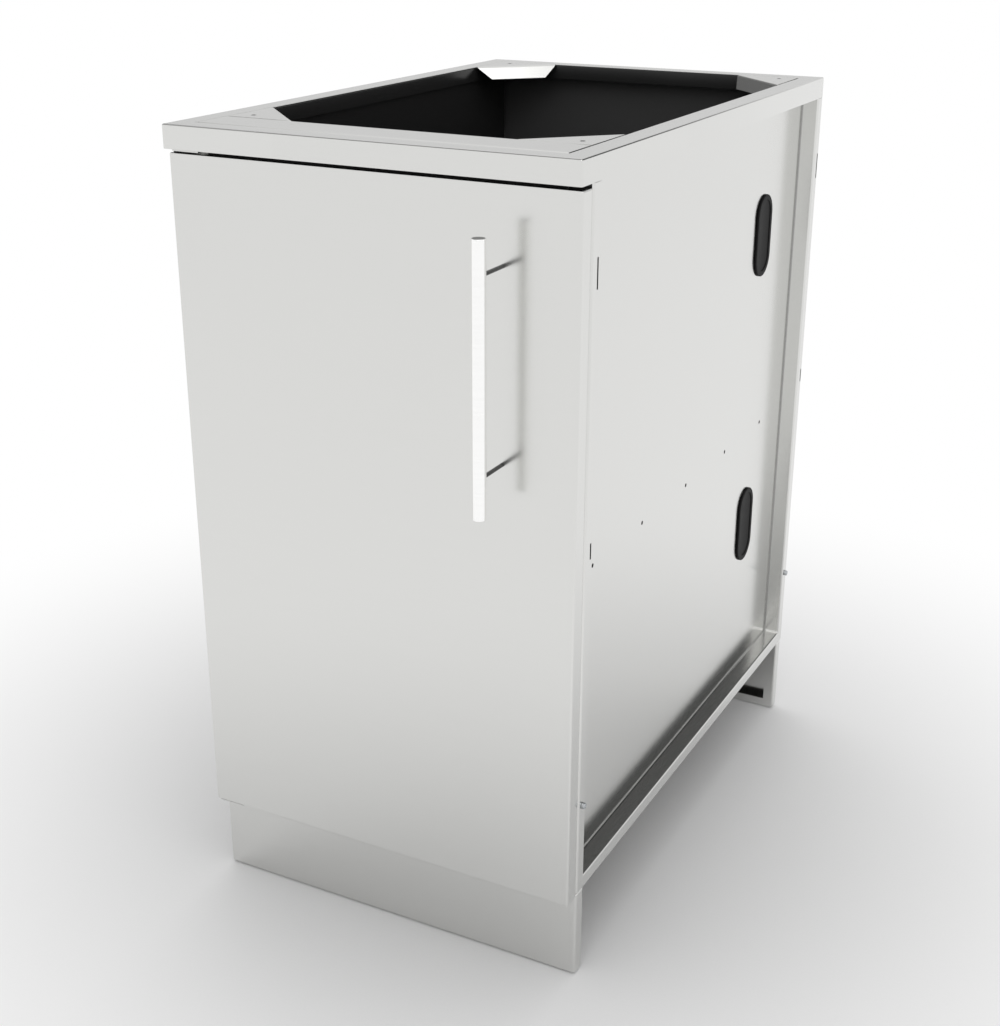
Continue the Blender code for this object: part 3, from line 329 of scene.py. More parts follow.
def speckled(name, dark, light, size, rough, metallic=0.0, depth=0.00003, stretch=(1, 1, 1),
             **sockets):
    """Two tones, a roughness range and a fine relief, all from one noise of the given cell size."""
    made, tree, shader = new_finish(name, Metallic=metallic, **sockets)
    where = add_node(tree, "ShaderNodeTexCoord").outputs["Object"]
    scaled = add_node(tree, "ShaderNodeMapping", {"Vector": where, "Scale": stretch})
    noise = add_node(tree, "ShaderNodeTexNoise", {"Vector": scaled.outputs[0], "Scale": 1 / size,
                                                  "Detail": 2.0})
    tone = add_node(tree, "ShaderNodeValToRGB", {"Fac": noise.outputs["Fac"]})
    tone.color_ramp.elements[0].color = linear(dark)
    tone.color_ramp.elements[1].color = linear(light)
    tone.color_ramp.elements[0].position = SPECK_LOW
    tone.color_ramp.elements[1].position = SPECK_HIGH
    spread = add_node(tree, "ShaderNodeMapRange", {"Value": noise.outputs["Fac"],
                                                   "From Min": SPECK_LOW, "From Max": SPECK_HIGH,
                                                   "To Min": rough[0], "To Max": rough[1]})
    relief = add_node(tree, "ShaderNodeBump", {"Height": noise.outputs["Fac"],
                                               "Strength": SPECK_RELIEF, "Distance": depth})
    tree.links.new(tone.outputs[0], shader.inputs["Base Color"])
    tree.links.new(spread.outputs[0], shader.inputs["Roughness"])
    tree.links.new(relief.outputs[0], shader.inputs["Normal"])
    return made


# Painted highlight: the bar's colour, nearly white.
BAR_PAINTED_HIGHLIGHT = speckled("polished_304_bar", "#F9F9F8", "#FCFCFB", size=0.0012, rough=(0.14, 0.17),
                        metallic=1.0, depth=0.000001, stretch=(0.02, 0.02, 1))
# Painted shade: dark grey for the standoffs and for the bar's flat ends.
DARK_POST_PAINTED_SHADE = speckled("turned_304_post_dulled", "#4C4C4B", "#585857", size=0.0006,
                       rough=(0.22, 0.28), metallic=1.0, depth=0.000002, stretch=(0.05, 1, 0.05))
ZINC_PLATE = speckled("zinc_plated_steel", "#AEB1B4", "#C2C5C7", size=0.0040, rough=(0.28, 0.40),
                      metallic=1.0)
BLACK_STEEL = speckled("blackened_steel_rivet", "#141414", "#262626", size=0.0008,
                       rough=(0.40, 0.55), metallic=0.6)
RUBBER = speckled("moulded_epdm_rubber", "#0E0E0E", "#141414", size=0.0007, rough=(0.50, 0.62),
                  Specular_IOR_Level=0.15)
NYLON = speckled("moulded_black_nylon", "#151515", "#1B1B1B", size=0.0006, rough=(0.42, 0.52))
print("finishes so far:", len(bpy.data.materials))

# %% [markdown]
# Each solid gets its finish by name. The grain follows the way the belt ran before the sheet was
# cut and folded: along the length of a ledge or a kick, across the door, and upright on the side
# and back panels.

# %% Finish the solids


def finish_node(node, material):
    """Put one material on all the slots of a solid."""
    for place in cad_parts[node].material_slots:
        place.material = material


def finish_for(node):
    """The finish of a solid, from the start of its name."""
    rules = (("side_panel", SIDE_SHEET), ("back_panel", BACK_SHEET), ("floor_panel", FLOOR_SHEET),
             ("shelf_rivet", BLACK_STEEL), ("shelf", SHELF_PAINTED_SHADE), ("door", BARE_SHEET),
             ("front_ledge", LEDGE_SHEET), ("gusset_front", GUSSET_SHEET["front"]),
             ("gusset_rear", GUSSET_SHEET["rear"]), ("toe_kick", BARE_SHEET),
             ("top_rim", BARE_SHEET), ("handle_screw", ZINC_PLATE), ("handle_bar", BAR_PAINTED_HIGHLIGHT),
             ("handle", DARK_POST_PAINTED_SHADE), ("joining_stud", ZINC_PLATE), ("pivot_bush", NYLON),
             ("pivot_bracket", BARE_SHEET), ("pivot", ZINC_PLATE), ("catch_housing", NYLON),
             ("catch", ZINC_PLATE), ("leg_socket", NYLON), ("levelling_foot", ZINC_PLATE),
             ("port_plug", RUBBER))
    if node.startswith("door_bumper"):
        return NYLON
    return next(material for start, material in rules if node.startswith(start))


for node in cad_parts:
    finish_node(node, finish_for(node))
print("finished", len(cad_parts), "solids")

# %% [markdown]
# The finer pieces are all made in one way. A profile, a short row of (out, rise) pairs, is carried
# round a closed outline: a circle for a turned piece, an oblong for a plug, a rectangle with small
# round corners for a folded one. Every point is the outline's centre line, plus its outward
# direction times out, plus the axis times rise. That is one sum over whole arrays, and the faces
# are the squares of the grid.

# %% Outlines and profiles


def arc(centre, radius, start, end, steps):
    """(out, rise) points of an arc: centre plus radius times the cosine and sine, in degrees."""
    turn = np.radians(np.linspace(start, end, steps + 1))
    return np.column_stack((centre[0] + radius * np.cos(turn), centre[1] + radius * np.sin(turn)))


def corner_outline(low, high, radius, steps):
    """Outline of a rectangle: four corner centres, each with a fan of outward directions."""
    fan = np.radians(np.linspace(0, 90, steps + 1))
    turn = (fan + np.radians([[0], [90], [180], [270]])).ravel()
    sign = np.repeat([[1, 1], [-1, 1], [-1, -1], [1, -1]], steps + 1, axis=0)
    middle = (np.array(low) + high) / 2
    half = (np.array(high) - low) / 2 - radius
    return middle + sign * half, np.column_stack((np.cos(turn), np.sin(turn))), sign


def carry_round(profile, outline, radius, origin, u, v, axis):
    """Grid of points: a ring at each profile point, round corners outside and mitres inside them."""
    out, rise = np.asarray(profile, float).T[:, :, None, None]
    centres, radial, sign = outline
    reach = radius + out
    flat = centres + radial * np.maximum(reach, 0) + sign * np.minimum(reach, 0)
    return (np.array(origin) + flat[..., :1] * np.array(u) + flat[..., 1:] * np.array(v)
            + rise * np.array(axis))


def grid_faces(rings, around, closed):
    """Squares of a grid that closes round its rings and, for a closed profile, along it too."""
    last = rings if closed else rings - 1
    ring, step = np.meshgrid(np.arange(last), np.arange(around), indexing="ij")
    over, next_step = (ring + 1) % rings, (step + 1) % around
    return np.stack((ring * around + step, ring * around + next_step,
                     over * around + next_step, over * around + step), -1).reshape(-1, 4)


print("a quarter arc of 6 steps has", len(arc((0, 0), 1, 0, 90, 6)), "points")

# %% [markdown]
# A grid becomes a mesh through from_pydata. Rings that shrink to a corner leave points in one
# place, so these are merged, and the normals are then worked out again so that every face looks
# outwards. Ends are closed by one flat face each. Faces shade smoothly across a bend and stay
# crisp across a real edge.

# %% Grid to piece
MERGE_WITHIN, CRISP_FROM = 0.000001, 28


def make_piece(name, grid, finish, body, closed=False, cap_finish=None):
    """Turn a grid of points into a closed piece that rides on a body, its flat ends as told."""
    rings, around = grid.shape[:2]
    faces = grid_faces(rings, around, closed).tolist()
    if not closed:
        faces.append(list(range(around - 1, -1, -1)))
        faces.append(list(range((rings - 1) * around, rings * around)))
    mesh = bpy.data.meshes.new(name)
    mesh.from_pydata(grid.reshape(-1, 3).tolist(), [], faces)
    bm = bmesh.new()
    bm.from_mesh(mesh)
    bmesh.ops.remove_doubles(bm, verts=bm.verts, dist=MERGE_WITHIN)
    bmesh.ops.recalc_face_normals(bm, faces=bm.faces)
    bm.to_mesh(mesh)
    bm.free()
    mesh.shade_smooth()
    mesh.set_sharp_from_angle(angle=math.radians(CRISP_FROM))
    mesh.materials.append(finish)
    if cap_finish:
        mesh.materials.append(cap_finish)
        for cap in mesh.polygons[-2:]:
            cap.use_smooth, cap.material_index = False, 1
    piece = bpy.data.objects.new(name, mesh)
    bpy.context.scene.collection.objects.link(piece)
    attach(piece, body)
    return piece


print("edges stay crisp from", CRISP_FROM, "degrees")

# %% [markdown]
# The top rim is an inverted channel bent round all four sides in one piece with the fascia. Its
# profile is the channel's section: up the skirt, over a bend of 2 mm, across the flange, over the
# second bend and down the lip, then back along the inside of the sheet. The inner lip is seen
# against the dark inside, where it carries the same painted shade as the panels below it.

# %% Top rim
RIM_LOW, RIM_HIGH = (np.array(corner)[:2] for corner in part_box("top_rim"))
RIM_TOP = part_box("top_rim")[1].z
FLANGE, LIP, SKIRT, EASING = 0.0250, 0.0180, 0.0242, 0.0005
BEND_STEPS = 6


def rim_profile():
    """Section of the channel, as (out, rise) from the outer face and the top."""
    outer = arc((-BEND, -BEND), BEND, 0, 90, BEND_STEPS)
    inner = arc((BEND - FLANGE, -BEND), BEND, 90, 180, BEND_STEPS)
    under = arc((BEND - FLANGE, -BEND), BEND - SHEET, 180, 90, BEND_STEPS)
    back = arc((-BEND, -BEND), BEND - SHEET, 90, 0, BEND_STEPS)
    return np.vstack(([(0, -SKIRT), (0, -BEND - EASING)], outer, [(-BEND - EASING, 0)],
                      [(BEND + EASING - FLANGE, 0)], inner, [(-FLANGE, -LIP)],
                      [(SHEET - FLANGE, -LIP)], under, back, [(-SHEET, -SKIRT)]))


rim_outline = corner_outline(RIM_LOW, RIM_HIGH, BEND, BEND_STEPS)
rim_grid = carry_round(rim_profile(), rim_outline, BEND, (0, 0, RIM_TOP), (1, 0, 0), (0, 1, 0),
                       (0, 0, 1))
rim = make_piece("top_rim_folded", rim_grid, RIM_SHEET, "cabinet", True)
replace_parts(rim, "top_rim")
print("rim faces:", len(rim.data.polygons))

# %% [markdown]
# The handle bar is turned: a circle carried along the bar, with a small round edge at both ends.
# The standoffs are rods whose far ends are coped to the bar. A cope follows the bar's round
# surface, so its points are not on a flat ring: each point of the last ring is moved along the rod
# until it lies 0.3 mm from that surface.

# %% Handle bar and standoffs


def circle_outline(steps):
    """Outline with no size of its own, whose outward directions go once round."""
    turn = np.linspace(0, 2 * np.pi, steps, endpoint=False)
    nothing = np.zeros((steps, 2))
    return nothing, np.column_stack((np.cos(turn), np.sin(turn))), nothing


BAR_LOW, BAR_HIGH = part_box("handle_bar")
BAR_RADIUS = (BAR_HIGH.x - BAR_LOW.x) / 2
BAR_X, BAR_Y = (BAR_LOW.x + BAR_HIGH.x) / 2, (BAR_LOW.y + BAR_HIGH.y) / 2
BAR_LENGTH = BAR_HIGH.z - BAR_LOW.z
BAR_EDGE, EDGE_STEPS, BAR_STEPS = 0.0005, 4, 72
bar_profile = np.vstack((
    arc((BAR_RADIUS - BAR_EDGE, BAR_EDGE), BAR_EDGE, -90, 0, EDGE_STEPS),
    arc((BAR_RADIUS - BAR_EDGE, BAR_LENGTH - BAR_EDGE), BAR_EDGE, 0, 90, EDGE_STEPS)))
bar_grid = carry_round(bar_profile, circle_outline(BAR_STEPS), 0, (BAR_X, BAR_Y, BAR_LOW.z),
                       (1, 0, 0), (0, 1, 0), (0, 0, 1))
# The bar's flat ends take the standoffs' painted shade.
bar = make_piece("handle_bar_polished", bar_grid, BAR_PAINTED_HIGHLIGHT, "door",
                 cap_finish=DARK_POST_PAINTED_SHADE)
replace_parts(bar, "handle_bar")
print("bar radius:", round(BAR_RADIUS * 1000, 2), "mm")

# %% Coped standoffs
POST_RADIUS, POST_EASE, POST_STEPS = 0.0020, 0.0004, 48
COPE_LENGTH = 0.001


def standoff(name, node):
    """Rod along Y that ends on y = bar middle + sqrt(R^2 - dx^2), R being 0.3 mm over the bar's."""
    low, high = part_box(node)
    middle = (low.z + high.z) / 2
    length = high.y - (BAR_Y + BAR_RADIUS)
    profile = [(POST_RADIUS - POST_EASE, 0), (POST_RADIUS, POST_EASE), (POST_RADIUS, length / 2),
               (POST_RADIUS, length - COPE_LENGTH), (POST_RADIUS - POST_EASE / 2, length)]
    grid = carry_round(profile, circle_outline(POST_STEPS), 0, (BAR_X, high.y, middle), (1, 0, 0),
                       (0, 0, 1), (0, -1, 0))
    off = grid[-1, :, 0] - BAR_X
    grid[-1, :, 1] = BAR_Y + np.sqrt((BAR_RADIUS + CLEARANCE) ** 2 - off ** 2)
    piece = make_piece(name, grid, DARK_POST_PAINTED_SHADE, "door")
    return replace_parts(piece, node)


for height in ("upper", "lower"):
    standoff(f"handle_standoff_{height}_coped", f"handle_standoff_{height}")
print("standoff diameter:", POST_RADIUS * 2000, "mm")

# %% [markdown]
# The port plugs are moulded rubber, with a rounded rim and a dished face, so that the light runs
# softly round them. The outline is an oblong: a half circle at either end, joined by straight
# sides. The profile starts in the plug's hollow back and ends in the dish.

# %% Port plugs


def oblong_outline(height, width, steps):
    """Half circles round two centres, height minus width apart along the second direction."""
    turn = np.linspace(0, np.pi, steps + 1)
    turn = np.concatenate((turn, turn + np.pi))
    half = (height - width) / 2
    centres = np.column_stack((np.zeros(turn.size), np.repeat([half, -half], steps + 1)))
    radial = np.column_stack((np.cos(turn), np.sin(turn)))
    return centres, radial, radial


PLUG_WIDTH, PLUG_HEIGHT, PLUG_THICK = 0.0500, 0.0990, 0.0024
BODY_WIDTH, BODY_DEPTH, DISH_WIDTH, DISH_DEPTH = 0.0424, 0.0070, 0.0370, 0.0012
LIP_ROUND, DISH_ROUND = 0.0009, 0.0006
BACK_EASE, DISH_FOOT, DISH_EASE = 0.0004, 0.0002, 0.0008
PLUG_STEPS, LIP_STEPS, SHOULDER_STEPS = 20, 5, 4


def plug_profile():
    """(radius, rise) from the hollow back, out over the flange's rounded rim, into the dish."""
    rim, body, dish = PLUG_WIDTH / 2, BODY_WIDTH / 2, DISH_WIDTH / 2
    lip = arc((rim - LIP_ROUND, PLUG_THICK - LIP_ROUND), LIP_ROUND, 0, 90, LIP_STEPS)
    shoulder = arc((dish + DISH_ROUND, PLUG_THICK - DISH_ROUND), DISH_ROUND, 90, 180,
                   SHOULDER_STEPS)
    back = PLUG_THICK - BODY_DEPTH
    return np.vstack(([(dish, 0), (dish, back), (body, back), (body, 0), (rim - BACK_EASE, 0),
                       (rim, BACK_EASE)], lip, shoulder,
                      [(dish, PLUG_THICK - DISH_DEPTH + DISH_FOOT),
                       (dish - DISH_EASE, PLUG_THICK - DISH_DEPTH)]))


def plug(node, side):
    """One plug, in the place of its solid, with its face outwards."""
    low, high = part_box(node)
    face = low.x if side < 0 else high.x
    grid = carry_round(plug_profile(), oblong_outline(PLUG_HEIGHT, PLUG_WIDTH, PLUG_STEPS), 0,
                       (face - side * PLUG_THICK, (low.y + high.y) / 2, (low.z + high.z) / 2),
                       (0, 1, 0), (0, 0, 1), (side, 0, 0))
    piece = make_piece(node + "_moulded", grid, RUBBER, "cabinet")
    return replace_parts(piece, node)


for side_name, side in (("left", -1), ("right", 1)):
    for height in ("upper", "lower"):
        plug(f"port_plug_{side_name}_{height}", side)
print("plug outline:", PLUG_WIDTH * 1000, "by", PLUG_HEIGHT * 1000, "mm")

# %% [markdown]
# A levelling foot is a pad, a threaded stem and a lock nut, turned from one bar. Its surface has
# two parameters, the turn and the height. Over the thread the radius falls and rises once a pitch,
# and the phase also moves with the turn, which makes the ridges climb as a real M12 thread does.
# Over the nut the radius is that of a hexagon.

# %% Levelling feet
PITCH, THREAD_DEPTH, STEM_RADIUS = 0.00175, 0.0008, 0.0060
PAD_RADIUS, PAD_EDGE, PAD_TOP, PAD_NECK = 0.0180, 0.0036, 0.0080, 0.0070
NUT_FLATS, NUT_BASE, NUT_TOP, NUT_CHAMFER = 0.0168, 0.0247, 0.0317, 0.0007
NUT_ROUND_OVER_FLATS = 0.0002
NUT_ROUND = NUT_FLATS / 2 + NUT_ROUND_OVER_FLATS
THREAD_TOP, THREAD_END, STEM_TOP = 0.0580, 0.0590, 0.1000
SOLE_INSET, SOLE_ROUND, SOLE_RISE = 0.0008, 0.0003, 0.0002
EDGE_SLOPE, NECK_FLARE, NECK_RISE = 0.0006, 0.0012, 0.0004
SMALL_STEP, PITCH_ROWS, FOOT_STEPS = 0.0001, 6, 48


def thread_rows(start, end):
    """A few rows a pitch of the stem's radius, marked as threaded."""
    return [(z, STEM_RADIUS, 1, 0) for z in np.arange(start, end, PITCH / PITCH_ROWS)]


def foot_rows():
    """Rows of (height, radius, threaded, six-sided) from the pad's underside to the stem's top."""
    pad = [(0.0, PAD_RADIUS - SOLE_INSET, 0, 0), (SOLE_RISE, PAD_RADIUS - SOLE_ROUND, 0, 0),
           (SOLE_INSET, PAD_RADIUS, 0, 0), (PAD_EDGE, PAD_RADIUS, 0, 0),
           (PAD_EDGE + EDGE_SLOPE, PAD_RADIUS - EDGE_SLOPE, 0, 0),
           (PAD_TOP - NECK_RISE, PAD_NECK + NECK_FLARE, 0, 0), (PAD_TOP, PAD_NECK, 0, 0)]
    nut = [(NUT_BASE, NUT_ROUND, 0, 0), (NUT_BASE + NUT_CHAMFER, NUT_FLATS / 2, 0, 1),
           (NUT_TOP - NUT_CHAMFER, NUT_FLATS / 2, 0, 1), (NUT_TOP, NUT_ROUND, 0, 0)]
    return np.array(pad + thread_rows(PAD_TOP + SMALL_STEP, NUT_BASE - 2 * SMALL_STEP) + nut
                    + thread_rows(NUT_TOP + SMALL_STEP, THREAD_TOP)
                    + [(THREAD_END, STEM_RADIUS, 0, 0), (STEM_TOP, STEM_RADIUS, 0, 0)])


def foot_grid(x, y, steps):
    """x + r cos u, y + r sin u, z: r is the row's radius, less the thread's wave of z/pitch - u."""
    z, radius, threaded, six = foot_rows().T[:, :, None]
    turn = np.linspace(0, 2 * np.pi, steps, endpoint=False)
    wave = np.abs(2 * ((z / PITCH - turn / (2 * np.pi)) % 1) - 1)
    flat = np.cos((turn % (np.pi / 3)) - np.pi / 6)
    reach = (radius - threaded * THREAD_DEPTH * wave) / np.where(six > 0, flat, 1)
    return np.stack((x + reach * np.cos(turn), y + reach * np.sin(turn), z + 0 * turn), -1)


for node in [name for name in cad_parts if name.startswith("levelling_foot")]:
    foot_low, foot_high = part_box(node)
    foot_x, foot_y = (foot_low.x + foot_high.x) / 2, (foot_low.y + foot_high.y) / 2
    foot = make_piece(node + "_threaded", foot_grid(foot_x, foot_y, FOOT_STEPS), ZINC_PLATE,
                      node.replace("levelling_", ""))
    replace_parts(foot, node)
print("foot faces:", len(foot.data.polygons))

# %% [markdown]
# Joining studs have a pan head outside the strip and a collar inside it. The shelf's rivets are
# blind ones: a low dome inside, and outside a flush end with the small hole that the pulled pin
# leaves. Both are profiles carried round a circle along X.

# %% Studs and rivets
HEAD, NECK, HEAD_RISE, HEAD_ROUND, COLLAR = 0.0035, 0.0025, 0.0038, 0.0010, 0.0020
SOCKET_FLOOR, SOCKET_MOUTH, SOCKET_DEPTH = 0.0012, 0.0015, 0.0005
HEAD_STEPS, SHANK_STEPS, DOME_STEPS, TURNED_STEPS = 5, 3, 6, 32
inside_strip = -SHEET - CLEARANCE
stud_profile = np.vstack(([(SOCKET_FLOOR, HEAD_RISE - SOCKET_DEPTH), (SOCKET_MOUTH, HEAD_RISE)],
                          arc((HEAD - HEAD_ROUND, HEAD_RISE - HEAD_ROUND), HEAD_ROUND, 90, 0,
                              HEAD_STEPS),
                          [(HEAD, CLEARANCE), (NECK, CLEARANCE), (NECK, inside_strip),
                           (HEAD, inside_strip), (HEAD, inside_strip - COLLAR)]))
SHANK, SHANK_ROUND, DOME, DOME_RISE, DOME_END = 0.0021, 0.0003, 0.0040, 0.0012, 88
PIN_HOLE, PIN_MOUTH, PIN_DEPTH, PIN_EASE = 0.0008, 0.0011, 0.0010, 0.0001


def rivet_profile(length):
    """(radius, rise) from the pin's hole, over the flush end, to the dome: cosine by sine."""
    dome = arc((0, 0), 1, 0, DOME_END, DOME_STEPS) * [DOME, -DOME_RISE] + [0, DOME_RISE - length]
    return np.vstack(([(PIN_HOLE, -PIN_DEPTH), (PIN_HOLE, -PIN_EASE), (PIN_MOUTH, 0)],
                      arc((SHANK - SHANK_ROUND, -SHANK_ROUND), SHANK_ROUND, 90, 0, SHANK_STEPS),
                      [(SHANK, DOME_RISE - length)], dome))


def along_x(node, profile, face_x, side, finish):
    """Carry a profile round a circle about an axis that leaves the given face along X."""
    low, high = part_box(node)
    grid = carry_round(profile, circle_outline(TURNED_STEPS), 0,
                       (face_x, (low.y + high.y) / 2, (low.z + high.z) / 2),
                       (0, 1, 0), (0, 0, 1), (side, 0, 0))
    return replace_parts(make_piece(node + "_headed", grid, finish, "cabinet"), node)


for node in [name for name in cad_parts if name.startswith(("joining_stud", "shelf_rivet"))]:
    inner, outer = sorted((corner.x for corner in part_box(node)), key=abs)
    side = 1 if outer > 0 else -1
    if node.startswith("joining_stud"):
        along_x(node, stud_profile, outer - side * HEAD_RISE, side, ZINC_PLATE)
    else:
        along_x(node, rivet_profile(abs(outer - inner)), outer, side, BLACK_STEEL)
print("stud head:", HEAD * 2000, "mm, rivet:", SHANK * 2000, "mm")

# %% [markdown]
# The studio is a pale floor and a white surround. The floor is matt, so it takes the soft shadow,
# and it turns into plain white with distance, because a real sweep of paper is lit evenly far from
# the object. That white is only for what the eye and the metal see: the Light Path node keeps it
# out of the light that falls on the object.

# %% Floor
FADE_START, FADE_END = 0.24, 1.18
FIBRE_SIZE = 0.0025
NO_BOUNCE_YET = 0.5


def seen_directly(tree):
    """1 for a ray of the eye, a mirror or glass that has met no matt surface, and 0 for others."""
    path = add_node(tree, "ShaderNodeLightPath")
    pair = add_node(tree, "ShaderNodeMath", {0: path.outputs["Is Camera Ray"],
                                             1: path.outputs["Is Glossy Ray"]}, operation="MAXIMUM")
    seen = add_node(tree, "ShaderNodeMath", {0: pair.outputs[0],
                                             1: path.outputs["Is Transmission Ray"]},
                    operation="MAXIMUM")
    first = add_node(tree, "ShaderNodeMath", {0: path.outputs["Diffuse Depth"], 1: NO_BOUNCE_YET},
                     operation="LESS_THAN")
    return add_node(tree, "ShaderNodeMath", {0: seen.outputs[0], 1: first.outputs[0]},
                    operation="MULTIPLY").outputs[0]


def paper_sweep(name):
    """Matt white paper that turns to plain white between two distances from the middle."""
    made, tree, shader = new_finish(name, Roughness=1.0, Specular_IOR_Level=0.0)
    where = add_node(tree, "ShaderNodeTexCoord").outputs["Object"]
    fibres = add_node(tree, "ShaderNodeTexNoise", {"Vector": where, "Scale": 1 / FIBRE_SIZE})
    tone = add_node(tree, "ShaderNodeValToRGB", {"Fac": fibres.outputs["Fac"]})
    tone.color_ramp.elements[0].color = linear("#E4E4E4")
    tone.color_ramp.elements[1].color = linear("#E8E8E8")
    away = add_node(tree, "ShaderNodeVectorMath", {0: where}, operation="LENGTH")
    fade = add_node(tree, "ShaderNodeMapRange", {"Value": away.outputs["Value"],
                                                 "From Min": FADE_START, "From Max": FADE_END},
                    interpolation_type="SMOOTHSTEP")
    share = add_node(tree, "ShaderNodeMath", {0: fade.outputs[0], 1: seen_directly(tree)},
                     operation="MULTIPLY")
    white = add_node(tree, "ShaderNodeEmission", {"Strength": 1.0})
    both = add_node(tree, "ShaderNodeMixShader", {0: share.outputs[0], 1: shader.outputs[0],
                                                  2: white.outputs[0]})
    tree.links.new(tone.outputs[0], shader.inputs["Base Color"])
    tree.links.new(both.outputs[0], tree.nodes["Material Output"].inputs["Surface"])
    return made


FLOOR_REACH, FLOOR_LINES = 12, 5
span = np.linspace(-FLOOR_REACH, FLOOR_REACH, FLOOR_LINES)
ground_x, ground_y = np.meshgrid(span, span, indexing="ij")
ground = np.stack((ground_x, ground_y, np.zeros_like(ground_x)), -1).reshape(-1, 3)
row, column = np.meshgrid(np.arange(FLOOR_LINES - 1), np.arange(FLOOR_LINES - 1), indexing="ij")
first = row * FLOOR_LINES + column
tiles = np.stack((first, first + FLOOR_LINES, first + FLOOR_LINES + 1, first + 1), -1)
floor_mesh = bpy.data.meshes.new("studio_floor")
floor_mesh.from_pydata(ground.tolist(), [], tiles.reshape(-1, 4).tolist())
floor_mesh.materials.append(paper_sweep("white_paper_sweep"))
floor = bpy.data.objects.new("studio_floor", floor_mesh)
bpy.context.scene.collection.objects.link(floor)
print("floor:", 2 * FLOOR_REACH, "m square")

# %% [markdown]
# The surround is white to the eye, and has 0.7 of that as a lamp. A metal box in an all-white room
# would lose its edges, so a photographer stands dark cards where only the metal sees them. Here
# the cards are soft dark patches of the surround, seen by glossy rays alone. The one behind on the
# right is what the sill of the recess shows, by way of the web beside it. The one behind on the
# left greys the top a little. The one far left darkens the gusset's flange at the rear right
# corner. The one high on the left draws the line along the front's top edge. Each patch is a
# direction: the share of darkness rises as the ray's direction comes closer to it, measured by
# their dot product.

# %% Surround with dark cards
world = bpy.data.worlds.new("white_surround")
world.use_nodes = True
bpy.context.scene.world = world
sky = world.node_tree
LEVEL_AS_LAMP = 0.70
# A card's name, its middle, the dot products at its edge and at its full depth, and that depth.
CARDS = (("behind_right", (0.37, 0.74, 0.56), 0.87, 0.96, 0.92),
         ("behind_left", (-0.47, 0.86, 0.17), 0.84, 0.97, 0.28),
         ("far_left", (-0.834, 0.423, 0.357), 0.90, 0.98, 0.85),
         ("high_left", (-0.46, -0.19, 0.86), 0.80, 0.95, 0.65))


def card_light(tree, heading):
    """1 away from every card; at a card's middle it falls to 1 minus that card's depth."""
    kept = None
    for _, middle, outer, inner, depth in CARDS:
        unit = np.array(middle) / np.linalg.norm(middle)
        near = add_node(tree, "ShaderNodeVectorMath", {0: heading, 1: tuple(unit)},
                        operation="DOT_PRODUCT")
        light = add_node(tree, "ShaderNodeMapRange", {"Value": near.outputs["Value"],
                                                      "From Min": outer, "From Max": inner,
                                                      "To Min": 1.0, "To Max": 1.0 - depth},
                         interpolation_type="SMOOTHSTEP").outputs[0]
        kept = light if kept is None else add_node(
            tree, "ShaderNodeMath", {0: kept, 1: light}, operation="MULTIPLY").outputs[0]
    return kept


heading = add_node(sky, "ShaderNodeTexCoord").outputs["Generated"]
path = add_node(sky, "ShaderNodeLightPath")
carded = add_node(sky, "ShaderNodeMix", {"Factor": path.outputs["Is Glossy Ray"], "A": 1.0,
                                         "B": card_light(sky, heading)})
level = add_node(sky, "ShaderNodeMapRange", {"Value": seen_directly(sky),
                                             "To Min": LEVEL_AS_LAMP, "To Max": 1.0})
strength = add_node(sky, "ShaderNodeMath", {0: level.outputs[0], 1: carded.outputs[0]},
                    operation="MULTIPLY")
sky.links.new(strength.outputs[0], sky.nodes["Background"].inputs["Strength"])
sky.nodes["Background"].inputs["Color"].default_value = (1, 1, 1, 1)
print("cards:", [card[0] for card in CARDS])

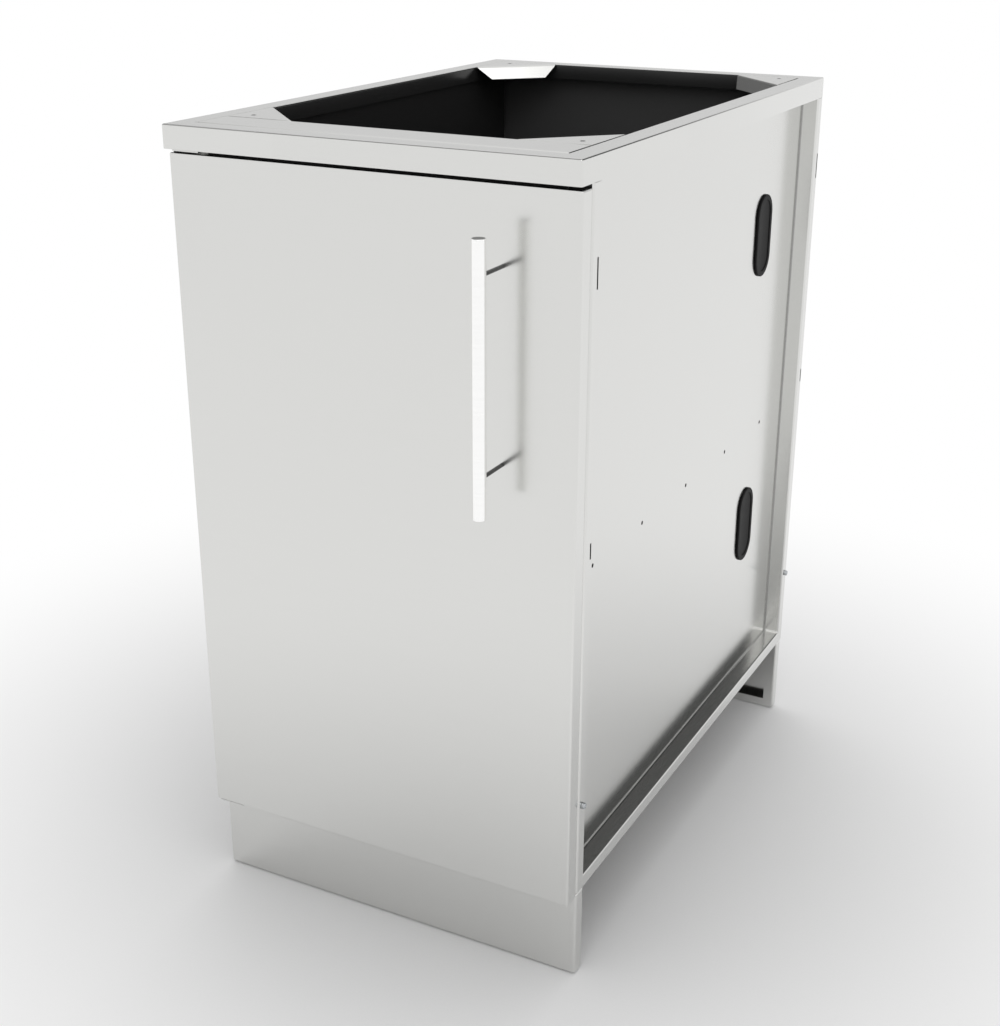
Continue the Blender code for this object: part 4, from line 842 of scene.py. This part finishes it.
# %% [markdown]
# Three softboxes help the surround. The one overhead lights matt surfaces only, because its own
# image would burn out the top. The one high on the right is mirrored by the gusset's sloping
# flange at the rear left corner, which turns it white. The one high in front lights the paper
# before the door. With the surround's help they light an upright card of mid grey, 128 of 255, to
# 111, so colours show nearly as they were written, a little darker.

# %% Lamps


def softbox(name, place, target, size, radiance, in_reflections=True):
    """Square lamp that faces a target; its watts are radiance times pi times its area."""
    lamp = bpy.data.lights.new(name, "AREA")
    lamp.shape, lamp.size = "SQUARE", size
    lamp.energy = radiance * math.pi * size ** 2
    made = bpy.data.objects.new(name, lamp)
    bpy.context.scene.collection.objects.link(made)
    made.location = place
    made.visible_glossy = in_reflections
    aim = np.array(target) - place
    made.rotation_euler = (math.acos(-aim[2] / np.linalg.norm(aim)), 0,
                           math.atan2(aim[1], aim[0]) - math.pi / 2)
    return made


softbox("softbox_overhead", place=(-0.3, 0.8, 3.6), target=(0, 0, 0.4), size=2.4, radiance=1.6,
        in_reflections=False)
softbox("softbox_high_right", place=(1.5, -0.9, 3.3), target=(0, 0.1, 0.8), size=1.5, radiance=1.0)
softbox("softbox_high_front", place=(0.5, -2.4, 2.9), target=(0, 0.2, 0.7), size=1.2, radiance=1.6)

# %% [markdown]
# The camera stands to the right of the door, a little above the top, so that the door, the right
# side and the open top all show. Its lens, place and tilt were worked out from the object's own
# straight edges.

# %% Camera
CAMERA_PLACE, CAMERA_TURN = (0.791756, -1.560000, 1.092509), (68.13790, -0.07636, 27.78272)
FOCAL_LENGTH, SENSOR_WIDTH, SHIFT = 54.550, 36.0, (0.003925, -0.0017)
NEAREST, FARTHEST = 0.05, 60
lens = bpy.data.cameras.new("camera")
lens.lens, lens.sensor_width, lens.sensor_fit = FOCAL_LENGTH, SENSOR_WIDTH, "AUTO"
lens.shift_x, lens.shift_y = SHIFT
lens.clip_start, lens.clip_end = NEAREST, FARTHEST
camera = bpy.data.objects.new("camera", lens)
camera.location = CAMERA_PLACE
camera.rotation_euler = [math.radians(angle) for angle in CAMERA_TURN]
bpy.context.scene.collection.objects.link(camera)
bpy.context.scene.camera = camera
bpy.context.scene.view_settings.view_transform = "Standard"
print("camera:", [round(value, 3) for value in camera.location])
